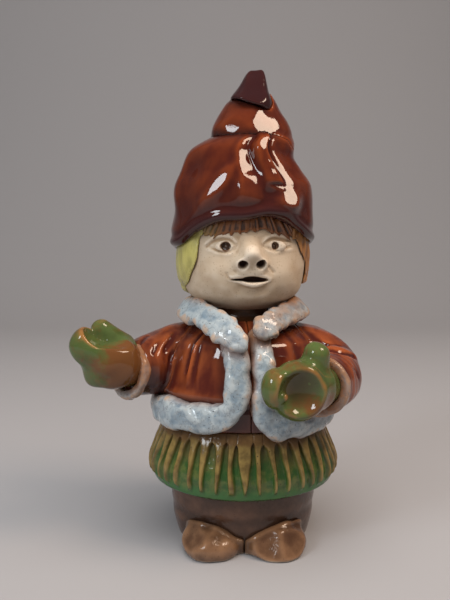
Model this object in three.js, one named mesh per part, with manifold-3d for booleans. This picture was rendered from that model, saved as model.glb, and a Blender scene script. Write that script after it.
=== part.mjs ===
// A hand-built stoneware gnome child in a tall folded cap, fur-edged jacket, pleated skirt and mittens.
// Every piece of clay that the potter shaped and joined with slip is a mesh of its own.
// Millimetres, +Z up. The figure faces -Y, so its own left side is at +X. A bearing is the angle round
// the upright axis, in degrees: 0 at the front, positive towards the figure's left.
import * as THREE from "three";
import { mergeVertices } from "three/addons/utils/BufferGeometryUtils.js";
import Module from "manifold-3d";

const wasm = await Module();
wasm.setup();

// Clay
const slipJoint = 0.3; // the joint between two pieces
const bodyWall = 5; // the thrown body inside the clothes
const bodyDepthShare = 0.9; // depth of the body for its width

// Thicknesses
const skirtThickness = 9.8;
const jacketThickness = 4.2;
const furThickness = 4.4;
const collarThickness = 2.8;
const hairThickness = 2.4;
const bootThickness = 2.6;

// Widths of the fur trims
const furWidth = 9.6;
const furHemWidth = 12.4;
const collarWidth = 12;

// Heights above the table
const skirtHem = 24.5;
const skirtFullest = 32.5;
const waist = 52;
const chest = 69;
const shoulder = 85.5;
const jacketTop = 94.5;
const neckTop = 100;
const headCentre = 119;
const brimFront = headCentre + 16.5;
const brimBack = headCentre - 1;
const hairTop = brimFront + 6.5;
const hatTop = 199;
const hatFold = hatTop - 29;
const hatShoulder = hatFold - 8;

// Half widths
const skirtHalf = 41.8;
const trouserHalf = skirtHalf - skirtThickness;
const soleHalf = trouserHalf - 3.5;
const waistHalf = trouserHalf - 1;
const chestHalf = waistHalf;
const shoulderHalf = chestHalf - 5;
const neckHalf = 10.5;
const headHalf = 26.4;
const headDepth = headHalf - 0.9;
const brimHalf = headHalf + hairThickness + 1.8;

// The pleats pressed into the skirt
const pleatCount = 42;
const pleatDepth = 1.7;
const pleatFadeHeight = 6;

// The arch under the trousers, between the boots
const archRise = 3;
const archRadius = 6;

// Numbers from 0 to 1 that start and stop gently
const ease = (low, high, value) => THREE.MathUtils.smoothstep(value, low, high);
const mix = THREE.MathUtils.lerp;
const radians = THREE.MathUtils.degToRad;
const point = (x, y, z) => new THREE.Vector3(x, y, z);

// A smooth curve through [height, value] pairs, as a function of height.
function heightCurve(pairs) {
  const slope = (i) => {
    const [below, above] = [pairs[Math.max(i - 1, 0)], pairs[Math.min(i + 1, pairs.length - 1)]];
    return (above[1] - below[1]) / (above[0] - below[0]);
  };
  return (height) => {
    let i = 0;
    while (i < pairs.length - 2 && height > pairs[i + 1][0]) i++;
    const [[h0, v0], [h1, v1]] = [pairs[i], pairs[i + 1]];
    const span = h1 - h0;
    const t = THREE.MathUtils.clamp((height - h0) / span, 0, 1);
    const u = 1 - t;
    return v0 * u * u * (1 + 2 * t) + v1 * t * t * (3 - 2 * t)
      + span * t * u * (slope(i) * u - slope(i + 1) * t);
  };
}

// A row of numbers at t, from 0 to 1, on a smooth curve through the rows of a table.
function rowAt(rows, t) {
  const place = t * (rows.length - 1);
  const i = Math.min(Math.floor(place), rows.length - 2);
  const f = place - i;
  const row = (k) => rows[THREE.MathUtils.clamp(k, 0, rows.length - 1)];
  return rows[0].map((_, n) => {
    const [a, b, c, d] = [row(i - 1)[n], row(i)[n], row(i + 1)[n], row(i + 2)[n]];
    return 0.5 * (2 * b + (c - a) * f + (2 * a - 5 * b + 4 * c - d) * f ** 2 + (3 * b - a - 3 * c + d) * f ** 3);
  });
}

// The skin over a stack of rings that all have the same number of points, closed by a fan at each end.
function skin(rings) {
  const around = rings[0].length;
  const points = rings.flat();
  const middle = (ring) => ring.reduce((sum, p) => sum.add(p), point(0, 0, 0)).divideScalar(around);
  const faces = [];
  const lowPole = points.push(middle(rings[0])) - 1;
  const highPole = points.push(middle(rings[rings.length - 1])) - 1;
  const top = (rings.length - 1) * around;
  for (let i = 0; i < around; i++) {
    const j = (i + 1) % around;
    faces.push(lowPole, j, i, highPole, top + i, top + j);
    for (let r = 0; r < top; r += around) {
      faces.push(r + i, r + j, r + around + j, r + i, r + around + j, r + around + i);
    }
  }
  const geometry = new THREE.BufferGeometry().setFromPoints(points);
  geometry.setIndex(faces);
  return geometry;
}

// A geometry moved outwards everywhere, so that each flat of it moves by at least the gap.
function swollen(geometry, gap) {
  const grown = geometry.clone();
  grown.computeVertexNormals();
  const [place, normal, index] = [grown.attributes.position, grown.attributes.normal, grown.index.array];
  const corner = [point(0, 0, 0), point(0, 0, 0), point(0, 0, 0)];
  const facing = point(0, 0, 0);
  const away = point(0, 0, 0);
  const least = new Array(place.count).fill(1);
  for (let i = 0; i < index.length; i += 3) {
    corner.forEach((c, k) => c.fromBufferAttribute(place, index[i + k]));
    THREE.Triangle.getNormal(corner[0], corner[1], corner[2], facing);
    for (let k = 0; k < 3; k++) {
      const v = index[i + k];
      least[v] = Math.min(least[v], Math.max(0.5, facing.dot(away.fromBufferAttribute(normal, v))));
    }
  }
  for (let v = 0; v < place.count; v++) {
    away.fromBufferAttribute(normal, v).multiplyScalar(gap / least[v]);
    place.setXYZ(v, place.getX(v) + away.x, place.getY(v) + away.y, place.getZ(v) + away.z);
  }
  return grown;
}

// A three.js geometry as a solid that can be joined and cut.
function solid(geometry) {
  const bare = geometry.clone();
  bare.deleteAttribute("normal");
  bare.deleteAttribute("uv");
  const merged = mergeVertices(bare, 1e-4);
  return new wasm.Manifold(new wasm.Mesh({
    numProp: 3,
    vertProperties: merged.attributes.position.array,
    triVerts: new Uint32Array(merged.index.array),
  }));
}

// What is left of a piece of clay where its neighbours press into it, without loose crumbs.
function trimmed(piece, ...neighbours) {
  const rest = neighbours.reduce((left, neighbour) => left.subtract(neighbour), piece);
  return rest.decompose().reduce((a, b) => (a.volume() > b.volume() ? a : b));
}

// A form as a solid, and the room that it takes with the slip round it.
const formOf = (geometry) => ({ clay: solid(geometry), room: solid(swollen(geometry, slipJoint)) });
const joined = (...forms) => ({
  clay: forms.map((f) => f.clay).reduce((a, b) => a.add(b)),
  room: forms.map((f) => f.room).reduce((a, b) => a.add(b)),
});

// An upright turned form: the half width is a function of height and bearing.
function turned(halfWidth, heights, around, depthShare = bodyDepthShare) {
  return skin(heights.map((z) => Array.from({ length: around }, (_, i) => {
    const bearing = (360 * i) / around;
    const reach = halfWidth(z, bearing);
    return point(reach * Math.sin(radians(bearing)), -depthShare * reach * Math.cos(radians(bearing)), z);
  })));
}

// The keys of a path, whose heights are told from a level of the figure.
const keysFrom = (level, keys) => keys.map(([x, y, z, ...sizes]) => [x, y, level + z, ...sizes]);

// Evenly spaced numbers, both ends counted.
const steps = (from, to, count) => Array.from({ length: count + 1 }, (_, i) => mix(from, to, i / count));

// A rolled limb along a path. Each key is [x, y, z, half width, half height].
function limb(keys, lengthSteps, around) {
  const places = steps(0, 1, lengthSteps);
  const nudge = 0.01;
  return skin(places.map((t) => {
    const [x, y, z, side, up] = rowAt(keys, t);
    const before = point(...rowAt(keys, Math.max(t - nudge, 0)));
    const along = point(...rowAt(keys, Math.min(t + nudge, 1))).sub(before).normalize();
    const across = along.clone().cross(point(0, 0, 1)).normalize();
    const above = across.clone().cross(along);
    return Array.from({ length: around }, (_, i) => {
      const turn = (2 * Math.PI * i) / around;
      return point(x, y, z).addScaledVector(across, side * Math.cos(turn))
        .addScaledVector(above, up * Math.sin(turn));
    });
  }).map((ring) => ring.reverse()));
}

// A rounded lump of clay.
function lump([x, y, z], [rx, ry, rz], around = 16) {
  const ball = new THREE.SphereGeometry(1, around, Math.round(around * 0.55));
  ball.rotateX(Math.PI / 2).scale(rx, ry, rz).translate(x, y, z);
  ball.deleteAttribute("normal");
  ball.deleteAttribute("uv");
  return mergeVertices(ball, 1e-4);
}

// A rounded roll from one place to another, each with its own radius.
function roll(from, to, startRadius, endRadius, around = 10) {
  const [a, b] = [point(...from), point(...to)];
  const along = b.clone().sub(a).normalize();
  const bead = (centre, radius, angle) => [
    ...centre.clone().addScaledVector(along, radius * Math.sin(angle)).toArray(),
    radius * Math.cos(angle), radius * Math.cos(angle),
  ];
  const quarter = [-80, -50, -20].map(radians);
  const keys = [
    ...quarter.map((angle) => bead(a, startRadius, angle)),
    ...quarter.map((angle) => bead(b, endRadius, -angle)).reverse(),
  ];
  return limb(keys, keys.length - 1, around);
}

// A slice of the figure between two bearings less than 180 degrees apart.
function wedge(from, to, low, high) {
  const reach = 3 * skirtHalf;
  const outline = [new THREE.Vector2(0, 0)];
  for (const bearing of steps(from, to, 6)) {
    outline.push(new THREE.Vector2(Math.sin(radians(bearing)), -Math.cos(radians(bearing))).multiplyScalar(reach));
  }
  const slice = new THREE.ExtrudeGeometry(new THREE.Shape(outline), { depth: high - low, bevelEnabled: false });
  return solid(slice.translate(0, 0, low));
}

// The body: trousers and torso, thrown hollow and joined at the waist

const trouserLine = heightCurve([
  [0, soleHalf], [0.4 * skirtHem, mix(soleHalf, trouserHalf, 0.7)], [skirtHem, trouserHalf], [waist, waistHalf],
]);
const torsoLine = heightCurve([
  [waist, waistHalf],
  [chest, chestHalf],
  [shoulder, shoulderHalf],
  [mix(shoulder, neckTop, 0.35), mix(shoulderHalf, neckHalf, 0.42)],
  [mix(shoulder, neckTop, 0.65), mix(shoulderHalf, neckHalf, 0.9)],
  [neckTop, neckHalf],
]);
const bodyAround = 20;
const trouserTop = waist - slipJoint;
const trouserForm = formOf(turned(trouserLine, steps(0, trouserTop, 5), bodyAround));
const torsoForm = formOf(turned(torsoLine, [
  ...steps(waist, shoulder, 4),
  ...steps(shoulder, neckTop, 4).slice(1),
], bodyAround));

function trousers() {
  const hollow = turned((z) => trouserLine(z) - bodyWall, steps(-1, waist, 4), bodyAround);
  const arch = new THREE.CylinderGeometry(archRadius, archRadius, 2 * trouserHalf, 14);
  arch.translate(0, -trouserHalf, archRise - archRadius);
  return trimmed(trouserForm.clay, solid(hollow), solid(arch));
}

function torso() {
  const domeBase = shoulder - 2 * bodyWall;
  const domeTop = shoulder - 0.3 * bodyWall;
  const domeHalf = shoulderHalf - 0.7 * bodyWall;
  const round = [0, 0.5, 0.8, 1].map((t) => [mix(domeBase, domeTop, t), domeHalf * Math.sqrt(1.04 - t * t)]);
  const line = heightCurve([[waist - 1, waistHalf - bodyWall], [chest, chestHalf - bodyWall], ...round]);
  const heights = [...steps(waist - 1, domeBase, 3), ...round.slice(1).map(([z]) => z)];
  return trimmed(torsoForm.clay, solid(turned(line, heights, bodyAround)));
}

// The skirt: a full, turned-under ring with leaf-shaped grooves pressed in, that leave thin ridges

const skirtLine = heightCurve([
  [skirtHem, skirtHalf - 5.8],
  [mix(skirtHem, skirtFullest, 0.25), skirtHalf - 2.2],
  [skirtFullest, skirtHalf],
  [mix(skirtFullest, waist, 0.5), mix(skirtHalf, waistHalf, 0.3)],
  [waist, waistHalf + 2.8],
]);
const pleatLowFade = skirtHem + pleatFadeHeight;
const pleatTopFade = waist - pleatFadeHeight;

// How far the skirt stands back from its ridges. The ridges end in points above the hem.
function pleat(z, bearing) {
  const phase = (bearing * pleatCount) / 360;
  const ridge = Math.abs(Math.cos(Math.PI * phase)) ** 3;
  const band = ease(pleatTopFade, pleatTopFade + 0.6 * pleatFadeHeight, z);
  return -pleatDepth * (1 - mix(ridge * ease(skirtHem, pleatLowFade, z), 1, band));
}

const skirtForm = formOf(turned((z, bearing) => skirtLine(z) + pleat(z, bearing), [
  ...steps(skirtHem, skirtFullest, 2),
  ...steps(skirtFullest, waist - slipJoint, 3).slice(1),
], 4 * pleatCount));

// The jacket: a slab wrapped round the torso, open down the front, in three panels

const jacketLine = (z) => torsoLine(z) + slipJoint + jacketThickness;
const jacketHeights = [...steps(waist, shoulder, 3), ...steps(shoulder, jacketTop, 3).slice(1)];
const jacketForm = formOf(turned(jacketLine, jacketHeights, 24));
const sideSeam = 100;
const frontOpening = 4;
const seamHalf = THREE.MathUtils.radToDeg(slipJoint / 2 / shoulderHalf);

function jacketPanel(from, to) {
  const slice = wedge(from + seamHalf, to - seamHalf, waist - 1, jacketTop + 1);
  return trimmed(jacketForm.clay.intersect(slice), torsoForm.room);
}

// A place on the jacket's outside, lifted off it, and the way the jacket faces there.
function onJacket(bearing, z, lift = 0) {
  const reach = jacketLine(z);
  const nudge = 0.5;
  const rise = (jacketLine(z + nudge) - jacketLine(z - nudge)) / (2 * nudge);
  const facing = point(bodyDepthShare * Math.sin(radians(bearing)), -Math.cos(radians(bearing)), -rise).normalize();
  const place = point(reach * Math.sin(radians(bearing)), -bodyDepthShare * reach * Math.cos(radians(bearing)), z);
  return { place: place.addScaledVector(facing, lift), facing };
}

// The fur trims: flattened coils laid along a path, with round ends. A key of the path is
// [x, y, z, half width], and facingAt says which way the flat side faces at a place.
const coilEnd = [[0, 0.4], [0.015, 0.75], [0.045, 0.95]]; // [share of the length, share of the thickness]

function coil(path, facingAt, thickness, lengthSteps, around = 8) {
  const stations = [
    ...coilEnd,
    ...steps(0.1, 0.9, lengthSteps).map((t) => [t, 1]),
    ...coilEnd.map(([t, share]) => [1 - t, share]).reverse(),
  ];
  const nudge = 0.01;
  return skin(stations.map(([t, share]) => {
    const [x, y, z, half] = rowAt(path, t);
    const before = point(...rowAt(path, Math.max(t - nudge, 0)));
    const along = point(...rowAt(path, Math.min(t + nudge, 1))).sub(before).normalize();
    const across = facingAt(point(x, y, z)).cross(along).normalize();
    const outward = along.clone().cross(across);
    return Array.from({ length: around }, (_, i) => {
      const turn = (2 * Math.PI * i) / around;
      return point(x, y, z).addScaledVector(across, share * half * Math.cos(turn))
        .addScaledVector(outward, share * thickness * Math.sin(turn));
    });
  }));
}

const jacketFacing = ({ x, y, z }) =>
  onJacket(THREE.MathUtils.radToDeg(Math.atan2(x, -y / bodyDepthShare)), z).facing;
const furHem = waist + 5.5;

// Path keys on the jacket, from [bearing, height, half width].
const furPath = (keys) => keys.map(([bearing, z, half]) => [...onJacket(bearing, z, 0.6).place.toArray(), half]);

const furRightForm = formOf(coil(furPath([
  [-4.6, jacketTop - 5, 0.46 * furWidth],
  [-4.4, mix(jacketTop, furHem, 0.4), 0.47 * furWidth],
  [-4.6, mix(jacketTop, furHem, 0.68), 0.48 * furWidth],
  [-8, furHem + 5, 0.5 * furWidth],
  [-18, furHem + 1, 0.48 * furHemWidth],
  [-34, furHem, 0.5 * furHemWidth],
  [-54, furHem, 0.5 * furHemWidth],
  [-75, furHem, 0.5 * furHemWidth],
  [-96, furHem, 0.5 * furHemWidth],
]), jacketFacing, furThickness, 10));
const furLeftForm = formOf(coil(furPath([
  [12.5, jacketTop - 3, 0.45 * furWidth],
  [12.2, mix(jacketTop, furHem, 0.4), 0.47 * furWidth],
  [11.5, mix(jacketTop, furHem, 0.7), 0.49 * furWidth],
  [11.8, furHem + 3, 0.52 * furWidth],
  [20, furHem - 1.4, 0.5 * furHemWidth],
  [35, furHem - 2, 0.5 * furHemWidth],
  [54, furHem - 2, 0.5 * furHemWidth],
  [75, furHem - 1, 0.5 * furHemWidth],
  [96, furHem, 0.5 * furHemWidth],
]), jacketFacing, furThickness, 10));
const furBackForm = formOf(coil(furPath(steps(92, 268, 6).map((bearing) => [
  bearing, furHem, 0.5 * furHemWidth,
])), jacketFacing, furThickness, 8));

// The head: a ball that is full at the cheeks, with the face turned a little to the figure's left

const headBelow = 21.5;
const headAbove = hatShoulder - headCentre - 10;
const faceTurn = 5;

// A place on the head in the face's own directions, from a unit direction.
function onHead(direction, lift = 0) {
  const { x, y, z } = direction;
  const jowl = 1 + 0.17 * Math.exp(-(((z + 0.8) / 0.35) ** 2));
  const swell = (size, spread, ...towards) =>
    size * Math.exp(-direction.distanceToSquared(point(...towards).normalize()) / spread ** 2);
  const cheeks = swell(1.2, 0.32, 0.55, -0.78, -0.3) + swell(1.2, 0.32, -0.55, -0.78, -0.3);
  const sockets = swell(-0.9, 0.2, 0.4, -0.9, 0.16) + swell(-0.9, 0.2, -0.4, -0.9, 0.16);
  const place = point(headHalf * jowl * x, headDepth * jowl * y, (z > 0 ? headAbove : headBelow) * z);
  return place.addScaledVector(direction, cheeks + sockets + lift);
}

// Turns a place in the face's own directions to where the head looks, and lifts it to the head's height.
const faceFrame = new THREE.Matrix4().makeRotationZ(radians(faceTurn)).setPosition(0, 0, headCentre);

// A place on the face, from its distance across and above the middle, sunk in or lifted off.
const faceSpot = (across, up, lift = 0) => {
  const [u, w] = [across / headHalf, up / (up > 0 ? headAbove : headBelow)];
  return onHead(point(u, -Math.sqrt(1 - u * u - w * w), w), lift).applyMatrix4(faceFrame).toArray();
};

function headSkin(lift, around, up) {
  const ball = new THREE.SphereGeometry(1, around, up).rotateX(Math.PI / 2);
  ball.deleteAttribute("normal");
  ball.deleteAttribute("uv");
  const shape = mergeVertices(ball, 1e-4);
  const place = shape.attributes.position;
  for (let i = 0; i < place.count; i++) {
    place.setXYZ(i, ...onHead(point(0, 0, 0).fromBufferAttribute(place, i).normalize(), lift).toArray());
  }
  return shape.applyMatrix4(faceFrame);
}

const headForm = formOf(headSkin(0, 20, 14));

// Heights on the face, from the head's middle
const mouthUp = -6.2;
const noseUp = 1;
const eyeUp = 6.9;
const eyesAcross = [-9.8, 10.6]; // the face looks a little to the figure's left

function head() {
  const lips = [
    lump(faceSpot(-3.1, mouthUp + 1.9), [4, 1.1, 1.2], 8),
    lump(faceSpot(3.5, mouthUp + 1.9), [4, 1.1, 1.2], 8),
    lump(faceSpot(1.1, mouthUp - 2.1), [4.8, 1.4, 1.3], 8),
  ];
  const lids = eyesAcross.map((across) => lump(faceSpot(across, eyeUp, -0.8), [4.2, 1.7, 2.5], 8));
  const pits = eyesAcross.map((across) => lump(faceSpot(across, eyeUp, 0.6), [2.4, 1.7, 1.8], 8));
  const mouth = lump(faceSpot(0.7, mouthUp, 0.6), [6.8, 3.4, 1.1], 10);
  const raised = [...lips, ...lids].map(solid).reduce((all, one) => all.add(one), headForm.clay);
  return trimmed(raised, torsoForm.room, solid(mouth), ...pits.map(solid));
}

// The nose: a wide base, a ball and a bridge, with nostrils pushed in with a point
const nostrilSide = 3.4;
const nostrilRadius = 1.7;

function nose() {
  const lumps = [
    lump(faceSpot(0.4, noseUp - 0.8, 0.2), [5.8, 3.3, 2.6], 10),
    lump(faceSpot(0.3, noseUp + 1.9, 1.3), [3.6, 3.4, 3.3], 10),
    lump(faceSpot(0.2, noseUp + 5, -1.2), [3, 2.3, 3.8], 8),
  ];
  const nostril = (side) => {
    const [start, end] = [faceSpot(0.4 + side, noseUp - 3.2, 5), faceSpot(0.4 + 0.9 * side, noseUp - 0.4, 0.9)];
    return solid(roll(start, end, nostrilRadius, nostrilRadius, 6));
  };
  const whole = lumps.map(solid).reduce((all, one) => all.add(one));
  return trimmed(whole, headForm.room, nostril(nostrilSide), nostril(-nostrilSide));
}

// The hair: a skin of clay over the head, cut back round the face, in four pieces

const hairForm = formOf(headSkin(hairThickness, 20, 14));
const hairEnds = { right: 105.5, left: 110, back: 102 }; // heights where the hair stops

// The outline of the face's opening in the hair, seen from the front, as [across, above the head's middle].
const faceOutline = [
  [-27, -40], [-25.4, -13.5], [-22.8, -8.7], [-21.1, -3.5], [-19.2, 2], [-18.4, 6.5], [-17.5, 9.6], [-10.7, 10.6],
  [-3.5, 11.4], [2, 12], [6.8, 13], [10, 11.8], [17.2, 9.5], [20.6, 9], [22.4, 6.4], [25, 0], [26, -4.6], [27, -9],
  [28.5, -40],
];

function hairPiece(from, to, low) {
  const outline = new THREE.Shape(faceOutline.map(([x, z]) => new THREE.Vector2(x, z)));
  const opening = new THREE.ExtrudeGeometry(outline, { depth: 2 * headDepth, bevelEnabled: false });
  opening.rotateX(Math.PI / 2).translate(0, -3, headCentre);
  const slice = wedge(from + seamHalf, to - seamHalf, low, hairTop);
  return trimmed(hairForm.clay.intersect(slice), headForm.room, solid(opening));
}

// The hat: a dome with a rolled brim, a fold standing on it and a bent tip

// The height of the brim by bearing: arched over the face, with a nick on the left, and lower behind.
const brimAt = heightCurve([
  [-180, brimBack], [-130, brimBack + 3], [-90, brimFront - 11], [-60, brimFront - 9.5], [-39, brimFront - 3.7],
  [-20, brimFront - 0.3], [0, brimFront + 0.3], [20, brimFront + 1.8], [43, brimFront - 2.2], [64, brimFront - 7],
  [90, brimFront - 9], [130, brimBack + 4], [180, brimBack],
]);

// Stages of the dome from the brim up: [share of the way to the shoulder, half width, middle x].
const domeStages = [
  [0, brimHalf - 1.6, -0.5], [0.06, brimHalf, -0.5], [0.22, brimHalf, -0.3], [0.34, brimHalf - 1, -0.2],
  [0.6, brimHalf - 1.3, -0.1], [0.8, brimHalf - 4.2, -1.2], [1, brimHalf - 7.6, -2],
];
// From the shoulder in to the fold: [share of the way, half width, middle x].
const domeTopStages = [[0.4, brimHalf - 9.2, -1], [0.75, brimHalf - 12, 1.6], [1, brimHalf - 15, 2.8]];
const hatDepthShare = 0.94;

// The drooping lobe on the front of the dome and the soft folds down its sides.
function domeFolds(bearing, z) {
  const lobe = Math.exp(-(((bearing - 19) / 18) ** 4) - (((z - mix(brimFront, hatFold, 0.67)) / 11) ** 4));
  const fold = (at, width, size) => {
    const apart = ((bearing - at + 540) % 360) - 180;
    return size * Math.exp(-((apart / width) ** 2)) * ease(brimFront - 8, brimFront + 8, z);
  };
  return 1.6 * lobe + fold(-47, 13, -0.9) + fold(45, 9, -1.2) + fold(105, 16, -0.9) + fold(165, 18, -1.1)
    + fold(-118, 16, -1) + fold(-24, 12, 0.8);
}

function hatRing(around, heightAt, half, middle, foldShare) {
  return Array.from({ length: around }, (_, i) => {
    const turn = (360 * i) / around;
    const bearing = turn > 180 ? turn - 360 : turn;
    const z = heightAt(bearing);
    const reach = half + foldShare * domeFolds(bearing, z);
    return point(middle + reach * Math.sin(radians(turn)), -hatDepthShare * reach * Math.cos(radians(turn)), z);
  });
}

const hatAround = 28;
const creaseTilt = 2.6; // the crease under the fold runs down towards the figure's left
const creaseAt = (bearing) => hatFold - creaseTilt * Math.sin(radians(bearing));
const domeForm = formOf(skin([
  hatRing(hatAround, (b) => brimAt(b) + 6, brimHalf - 14, 0, 0),
  hatRing(hatAround, (b) => brimAt(b) + 0.6, brimHalf - 4.4, -0.5, 0),
  ...domeStages.map(([share, half, middle]) =>
    hatRing(hatAround, (b) => mix(brimAt(b), hatShoulder, share), half, middle, ease(0, 0.3, share))),
  ...domeTopStages.map(([share, half, middle]) =>
    hatRing(hatAround, (b) => mix(hatShoulder, creaseAt(b), share), half, middle, 0.5)),
]));

// Stages of the fold and the tip: [height, middle x, middle y, half width, half depth]
const foldStages = [
  [hatFold - 9, 3, 0, 14, 13], [hatFold - 3, 3, 0.2, 17.2, 16.2], [hatFold + 1, 3.1, 0.4, 17.8, 16.7],
  [hatFold + 8, 3.1, 1, 15.3, 14.4], [hatFold + 14, 3.3, 1.8, 11.8, 11], [hatFold + 18.5, 3.8, 2.4, 9, 8.4],
  [hatFold + 21, 4.4, 2.7, 6.3, 5.9],
];
const tipStages = [
  [hatTop - 15.6, 2.4, -3, 7.2, 7], [hatTop - 14.4, 2.6, -3, 9, 8.6], [hatTop - 11.8, 3, -2.7, 8.3, 8],
  [hatTop - 8.4, 3.6, -1.9, 6.6, 6.4], [hatTop - 5.4, 4.2, -1, 5.3, 5.2], [hatTop - 2.2, 4.8, -0.1, 4, 3.9],
  [hatTop - 0.6, 5.1, 0.1, 2.7, 2.7], [hatTop, 5.2, 0.2, 1.3, 1.3],
];
const tilted = (ring, slope) => ring.map((p) => p.setZ(p.z - slope * p.x));
const stack = (stages, around, levels, slope) => skin(steps(0, 1, levels).map((t) => {
  const [z, x, y, half, depth] = rowAt(stages, t);
  return tilted(Array.from({ length: around }, (_, i) => {
    const turn = (2 * Math.PI * i) / around;
    return point(x + half * Math.sin(turn), y - depth * Math.cos(turn), z);
  }), slope * (1 - t));
}));
const foldForm = formOf(stack(foldStages, 20, 8, creaseTilt / 18));
const tipForm = formOf(stack(tipStages, 14, 8, 0.34));

// The collar: two flat lapels and a back piece round the neck, leaning outwards

const collarLean = 20;
const collarFacing = ({ x, y }) => point(x, y, collarLean).normalize();
const collarRightForm = formOf(coil(keysFrom(neckTop, [
  [-23.6, 7, -0.6, 0.42 * collarWidth], [-24.4, -5, -1, 0.44 * collarWidth], [-18, -16.5, -2, 0.48 * collarWidth],
  [-12.5, -23.5, -4.4, 0.5 * collarWidth], [-7.6, -28.4, -7.4, 0.48 * collarWidth],
  [-3.4, -31.6, -10.8, 0.4 * collarWidth], [0.2, -34, -14.4, 0.2 * collarWidth],
]), collarFacing, collarThickness, 8));
const collarLeftForm = formOf(coil(keysFrom(neckTop, [
  [23.4, 6, -0.6, 0.4 * collarWidth], [23.6, -5, -1, 0.42 * collarWidth], [16.8, -16, -2.6, 0.42 * collarWidth],
  [11.2, -22.5, -4.8, 0.4 * collarWidth], [6.8, -27.5, -7.8, 0.34 * collarWidth],
]), collarFacing, collarThickness, 7));
const collarBackForm = formOf(coil(keysFrom(neckTop, [
  [23.8, 3, -0.6, 0.42 * collarWidth], [18, 17.4, -0.2, 0.46 * collarWidth], [0, 24, 0, 0.48 * collarWidth],
  [-18, 17.4, -0.2, 0.46 * collarWidth], [-23.8, 3, -0.6, 0.42 * collarWidth],
]), collarFacing, collarThickness, 9));

// The arms: rolled sleeves, a fur cuff round each wrist, and mittens pinched into cupped hands

const rightWrist = [-46, -13.5, 74.6];
const leftWrist = [30, -29.5, 71];
const sleeveRightForm = formOf(limb([
  [-14, 0, 78, 14, 14], [-25, -0.5, 78, 14.4, 14.4], [-36, -5, 75.6, 13.4, 14], [...rightWrist, 10.8, 11.4],
], 6, 14));
const sleeveLeftForm = formOf(limb([
  [14, 0, 78, 14, 14], [26, -0.5, 77.6, 14.2, 14.2], [34, -6, 73.6, 13.6, 14.4], [35.8, -16, 71, 12.2, 13],
  [...leftWrist, 10.8, 11.4],
], 6, 14));

// A coil closed into a ring round a wrist, square to the way that the arm points.
function cuff(centre, towards, radius, thickness, width) {
  const along = point(...towards).normalize();
  const ring = new THREE.TorusGeometry(radius, 1, 6, 14);
  const place = ring.attributes.position;
  for (let i = 0; i < place.count; i++) {
    const [x, y, z] = [place.getX(i), place.getY(i), place.getZ(i)];
    const out = Math.hypot(x, y) - radius;
    const scale = (radius + thickness * out) / (radius + out);
    place.setXYZ(i, x * scale, y * scale, width * z);
  }
  ring.deleteAttribute("normal");
  ring.deleteAttribute("uv");
  ring.applyQuaternion(new THREE.Quaternion().setFromUnitVectors(point(0, 0, 1), along));
  return formOf(mergeVertices(ring.translate(...centre), 1e-4));
}

const cuffRightForm = cuff([-47.4, -14.4, 73.6], [-0.72, -0.64, 0.2], 10, 2, 2.2);
const cuffLeftForm = cuff([29.4, -30.6, 71], [-0.3, -0.95, 0.04], 10, 2, 2.2);

const mittenRightForm = joined(
  formOf(roll([-44, -12, 74.6], [-51, -18, 77.6], 8.6, 9.4, 12)),
  formOf(lump([-54.6, -21, 78.8], [11.6, 9.6, 11], 13)),
  formOf(lump([-62.4, -24, 86], [7.6, 7.4, 8.2], 10)),
  formOf(lump([-59.6, -21, 74.4], [5.4, 6, 6], 8)),
);
const thumbRightForm = formOf(roll([-50.6, -14.2, 84.4], [-58.8, -15, 91.8], 5.4, 4, 10));
const mittenRightPalm = solid(roll([-55.5, -25.6, 93.8], [-45, -26, 91.6], 8.6, 6.5, 12));
const mittenLeftForm = joined(
  formOf(roll([29.6, -28, 71], [26, -36, 72], 8.8, 9.4, 12)),
  formOf(lump([19.4, -42, 72.2], [11.4, 9.6, 11.6], 14)),
  formOf(lump([10.6, -46, 74], [5.4, 6.4, 7.8], 10)),
);
const thumbLeftForm = formOf(roll([25.6, -37, 77.4], [26.8, -38.4, 85.2], 6.6, 4.9, 10));
const mittenLeftPalm = solid(lump([20.5, -52.2, 73.6], [8.2, 8.4, 8.7], 12));

// The boots: a toe pad and a low patch round the trousers' foot, standing flat on the table

function bootForm(side) {
  const toe = lump([side * 13.4, 10 - trouserHalf, 3.8], [12.6, 13.6, 8], 14);
  const upper = lump([side * 17, 16 - trouserHalf, 0], [trouserHalf - 16.6, trouserHalf - 12, 12], 14);
  const round = turned((z) => trouserLine(z) + bootThickness, steps(-1, skirtHem, 3), bodyAround);
  const table = new THREE.BoxGeometry(4 * skirtHalf, 4 * skirtHalf, skirtHem).translate(0, 0, -skirtHem / 2);
  const middle = new THREE.BoxGeometry(2 * slipJoint, 4 * skirtHalf, 2 * skirtHem);
  const boot = solid(toe).add(solid(upper).intersect(solid(round)));
  return trimmed(boot, solid(table), solid(middle), trouserForm.room);
}

// Glazes and clay: colour, roughness
const glazes = {
  red_glaze: [0x5a1e0c, 0.12],
  fur_glaze: [0xb4b8b4, 0.25],
  green_glaze: [0x4f6130, 0.18],
  skirt_glaze: [0x4a6a35, 0.3],
  brown_glaze: [0x4b3a2e, 0.45],
  boot_glaze: [0x7a614c, 0.25],
  bare_clay: [0xb39a7c, 0.85],
  hair_glaze: [0x8f8238, 0.3],
  shirt_glaze: [0x3e2415, 0.35],
};
const clays = Object.fromEntries(Object.entries(glazes).map(([name, [color, roughness]]) =>
  [name, new THREE.MeshStandardMaterial({ name, color, roughness, metalness: 0 })]));

const figure = new THREE.Group();

// Adds a finished piece of clay to the figure under its name.
function add(name, glaze, piece) {
  const { vertProperties, triVerts, numProp } = piece.getMesh();
  const geometry = new THREE.BufferGeometry();
  geometry.setAttribute("position", new THREE.BufferAttribute(new Float32Array(vertProperties), numProp));
  geometry.setIndex(new THREE.BufferAttribute(new Uint32Array(triVerts), 1));
  geometry.computeVertexNormals();
  const mesh = new THREE.Mesh(geometry, clays[glaze]);
  mesh.name = name;
  figure.add(mesh);
}

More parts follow.
